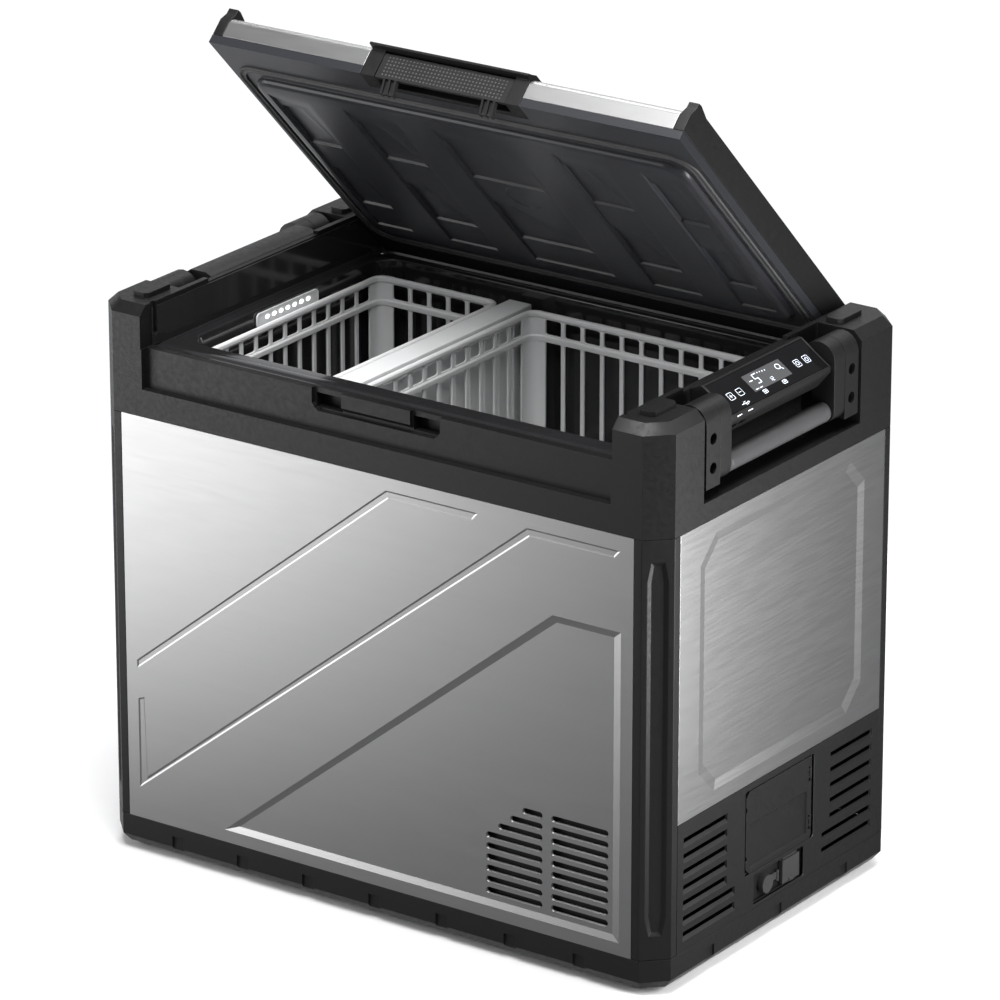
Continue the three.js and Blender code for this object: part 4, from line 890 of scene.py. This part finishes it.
def key_mark(name, key, drawing):
    """The outline and sign printed on one key; it moves with the key."""
    lo, hi = box(key)
    y = (lo.y + hi.y) / 2
    middle = Vector(((lo.x + hi.x) / 2, 0, (lo.z + hi.z) / 2))
    s = (middle - (CONSOLE_EDGE + CONSOLE_FOOT) / 2).dot((CONSOLE_FOOT - CONSOLE_EDGE).normalized())
    bm = bmesh.new()

    def place(a, b, h):
        return on_console(s + a, y + b, h)

    stroke(bm, round_rect(-4.2, 4.2, -4.2, 4.2, 1.2, 3), 0.45, True, place)
    for points, closed in drawing:
        stroke(bm, points, 0.55, closed, place)
    mesh_piece(name, bm, "ink", key, [], 0, 0)


def key_marks():
    bar = [((0, -2.2), (0, 2.2))]
    cross = bar + [((-2.2, 0), (2.2, 0))]
    ring = arc(0, 0, 2.2, 2.2, 0, 330, 11)
    open_ring = arc(0.3, 0, 2.2, 2.2, 215, 505, 10)
    key_mark("key_mark_up", "key_up", [(c, False) for c in cross])
    key_mark("key_mark_down", "key_down", [(c, False) for c in bar])
    key_mark("key_mark_mode", "key_mode", [(ring, True)])
    key_mark("key_mark_power", "key_power", [(open_ring, False), (((-2.6, 0), (-0.4, 0)), False)])


def port_marks():
    """Two short printed dashes over the USB ports, on the housing's lower bevel; they glow with the
    lit-mark material, a painted glow.
    """
    bm = bmesh.new()

    def lip(a, b, _):
        return (341.1, b, 571.5 - a)

    for y in (-77.5, -58.5):
        stroke(bm, [(0, y - 4), (0, y + 4)], 1.0, False, lip)
    # Painted light: the printed dashes glow though they are no lamp.
    mesh_piece("port_marks", bm, "ink", ROOT, [], 0, 0)


# ---------------------------------------------------------------- carry handles
def grip_bar(side, node, body):
    """A round bar with a shallow groove near each end."""
    lo, hi = box(node)
    r = (hi.z - lo.z) / 2
    length = hi.y - lo.y
    profile = [(0, r - 1.4), (0, r - 0.3), (1.5, r), (6, r), (7, r - 0.6), (8, r - 0.6), (9, r)]
    mirrored_profile = [(length - a, radius) for a, radius in reversed(profile)]
    bm = bmesh.new()
    turned(bm, ((lo.x + hi.x) / 2, lo.y, (lo.z + hi.z) / 2), (0, 1, 0), profile + mirrored_profile, 48)
    mesh_piece(f"grip_bar_{side}", bm, "bar", body, [node], 0, 0, 60)


# ---------------------------------------------------------------- lid
LID_HALF_W = 283.5
LID_FRONT, LID_REAR = -409, 12
LID_UNDER, LID_SEAM = -10, -0.7
PANEL_DROP = 6
LATCH_HALF, LATCH_DEPTH = 95.8, 25.3
FIELDS = [(-250, -206), (-156, -98), (-49, 47), (97, 154), (203, 243)]  # left and right of each field
FIELD_U = (-329, -64.5)  # front and rear of every field
POCKETS = [(-304, -229), (-178.5, -106)]  # front and rear of the two pockets in a field
SHALLOW, DEEP = 2.3, 5.0  # depths of a field and of its pockets


def field_steps(x0, x1):
    """One embossed field: a shallow tray with two deeper pockets, steepest at their left and rear edges."""
    base = -PANEL_DROP
    u0, u1 = FIELD_U
    tray = [(x0, -u1), (x1 + 3, -u1), (x1 + 9, -u0), (x0, -u0)]
    floor = [(x0 + 0.7, -u1 + 1.2), (x1 - 1, -u1 + 1.2), (x1 - 3, -u0 - 16), (x0 + 0.7, -u0 - 12)]
    steps = [(tray, base), (floor, base + SHALLOW)]
    for a, b in POCKETS:
        mouth = [(x0 + 1.3, -b), (x1 - 3, -b), (x0 + 30, -a + 0.8), (x0 + 1.3, -a + 0.8)]
        deep = [(x0 + 1.9, -b + 1.4), (x1 - 8, -b + 1.4), (x0 + 13, -a - 1.6), (x0 + 1.9, -a - 1.6)]
        steps += [(mouth, base + SHALLOW), (deep, base + DEEP)]
    return steps


def lid_underside():
    """The lid's moulded underside: flat rim, sides, and a raised panel with embossed fields."""
    x, n = LID_HALF_W, LATCH_HALF
    f, r = LID_FRONT, LID_REAR
    notch = LID_FRONT + LATCH_DEPTH
    outline = [(-x, -r), (x, -r), (x, -f), (n, -f), (n, -notch), (-n, -notch), (-n, -f), (-x, -f)]
    steps = []
    for inward, drop in [(0, 0), (0.8, 2.6), (2.6, 4.7), (5.4, 5.8), (8.6, PANEL_DROP)]:
        panel = round_rect(-262 + inward, 262 - inward, 42 + inward, 353 - inward, 24 - inward, 8)
        steps.append((panel, -drop))
    for x0, x1 in FIELDS:
        steps += field_steps(x0, x1)
    circle = arc(3, 203.5, 20, 20, 0, 345, 23)
    steps += [(circle, SHALLOW - PANEL_DROP), (inset(circle, 0.8), SHALLOW - PANEL_DROP + 0.9)]
    bm = bmesh.new()
    pressed(bm, on_lid_underside(LID_UNDER), outline, steps)
    low = [lid_point(a, -b, LID_UNDER) for a, b in outline]
    high = [lid_point(a, -b, LID_SEAM) for a, b in outline]
    loft(bm, [high, low])
    bmesh.ops.remove_doubles(bm, verts=bm.verts, dist=0.001)
    mesh_piece("lid_underside", bm, "lid_gloss", "lid", ["lid_liner"], 1.8, 0.7, 18)


def lid_seal():
    """Two soft lips on a thin web, with rounded crests."""
    bm = bmesh.new()
    rect = (-278, 278, -371, -19.2)
    profile = [(0, -10.1), (0.3, -11.4), (1.2, -12), (2.4, -11.6), (3.0, -10.6), (4.5, -10.3), (6.0, -10.6),
               (6.6, -11.6), (7.8, -12), (8.7, -11.4), (9.0, -10.1), (9.0, -9.2), (0, -9.2)]
    ring_rail(bm, rect, profile[::-1], lid_point, 30, 10)
    bmesh.ops.recalc_face_normals(bm, faces=bm.faces)
    mesh_piece("lid_seal", bm, "gasket", "lid", ["lid_gasket"], 0, 0, 60)


def latch_dots():
    """The grip pattern on the latch paddle: rows of small domes, in the lighter grip material as a painted
    highlight.
    """
    bm = bmesh.new()
    columns, rows, pitch_x, pitch_w = 35, 6, 4.15, 3.9
    face = LID_FRONT + 1
    for i in range(columns):
        for j in range(rows):
            x = (i - (columns - 1) / 2) * pitch_x
            w = LID_UNDER + 4.4 + j * pitch_w
            rings = []
            for out, radius in [(0, 1.15), (0.35, 0.95), (0.55, 0.45)]:
                rings.append([lid_point(x + radius * math.cos(t), face - out, w + radius * math.sin(t))
                              for t in (2 * math.pi * k / 8 for k in range(8))])
            loft(bm, rings, last_cap=True)
    # Painted highlight: the domes take the lighter grip material rather than the paddle's own dark plastic.
    mesh_piece("latch_grip_dots", bm, "bar", "latch", [], 0, 0)


# ---------------------------------------------------------------- everything together
CAD_PIECES = {
    "body": ["base_tray", "upper_frame", "socket_block", "console_housing", "latch_housing", "lid_cap_left",
             "lid_cap_right", "fan_shroud", "fan_rotor", "usb_ports"],
    "dark": ["latch_paddle"],
    "steel": ["lid_cover"],
    "rubber": ["dc_socket_cover", "inlet_cover"],
    "glass": ["display_glass", "key_up", "key_down", "key_mode", "key_power"],
    "foam": ["foam_core", "lid_foam"],
    "aluminium": ["evaporator", "condenser"],
    "pin": ["hinge_pin_left", "hinge_pin_right", "latch_pin"],
    "enamel": ["compressor"],
    "copper": ["refrigerant_line"],
    "board": ["control_board"],
}
BEVELS = {
    "upper_frame": 1.5, "latch_housing": 0.8, "lid_cap_left": 0.8, "lid_cap_right": 0.8, "base_tray": 0.6,
    "display_glass": 0.3, "key_up": 0.15, "key_down": 0.15, "key_mode": 0.15, "key_power": 0.15,
    "refrigerant_line": 0, "fan_rotor": 0.3, "condenser": 0.3, "console_housing": 0.8, "lid_cover": 0.4,
    "latch_paddle": 0.4,
}


def cad_pieces():
    for material, nodes in CAD_PIECES.items():
        for node in nodes:
            cad_finish(node, material, BEVELS.get(node, 0.5))
    for side in ("left", "right"):
        for end in ("front", "rear"):
            corner_post(end, side)
            cad_finish(f"foot_{end}_{side}", "rubber", 0.5)
            cad_finish(f"handle_bracket_{side}_{end}", "body", 1.4)
            cad_finish(f"handle_arm_{side}_{end}", "body", 0.4)


def build():
    front_panel()
    side_panel("side_steel_right", "right_side_panel", on_right(HALF_W), False)
    side_panel("side_steel_left", "left_side_panel", on_left(HALF_W), True)
    rear_panel()
    side_vents()
    battery_door()
    tub()
    lamp()
    left_lo, left_hi = box("basket_left")
    right_lo, right_hi = box("basket_right")
    basket("crate_left", "basket_left", [(left_lo.x, left_hi.x, left_lo.z, left_hi.z)])
    well_x = STEP_X - 6
    basket("crate_right", "basket_right", [(right_lo.x, well_x, right_lo.z, STEP_Z + 1),
                                           (right_lo.x, right_hi.x, STEP_Z + 1, right_hi.z)])
    divider()
    display()
    key_marks()
    port_marks()
    grip_bar("left", "handle_bar_left", "handle_left")
    grip_bar("right", "handle_bar_right", "handle_right")
    lid_underside()
    lid_seal()
    latch_dots()
    cad_pieces()


camera()
studio()
build()
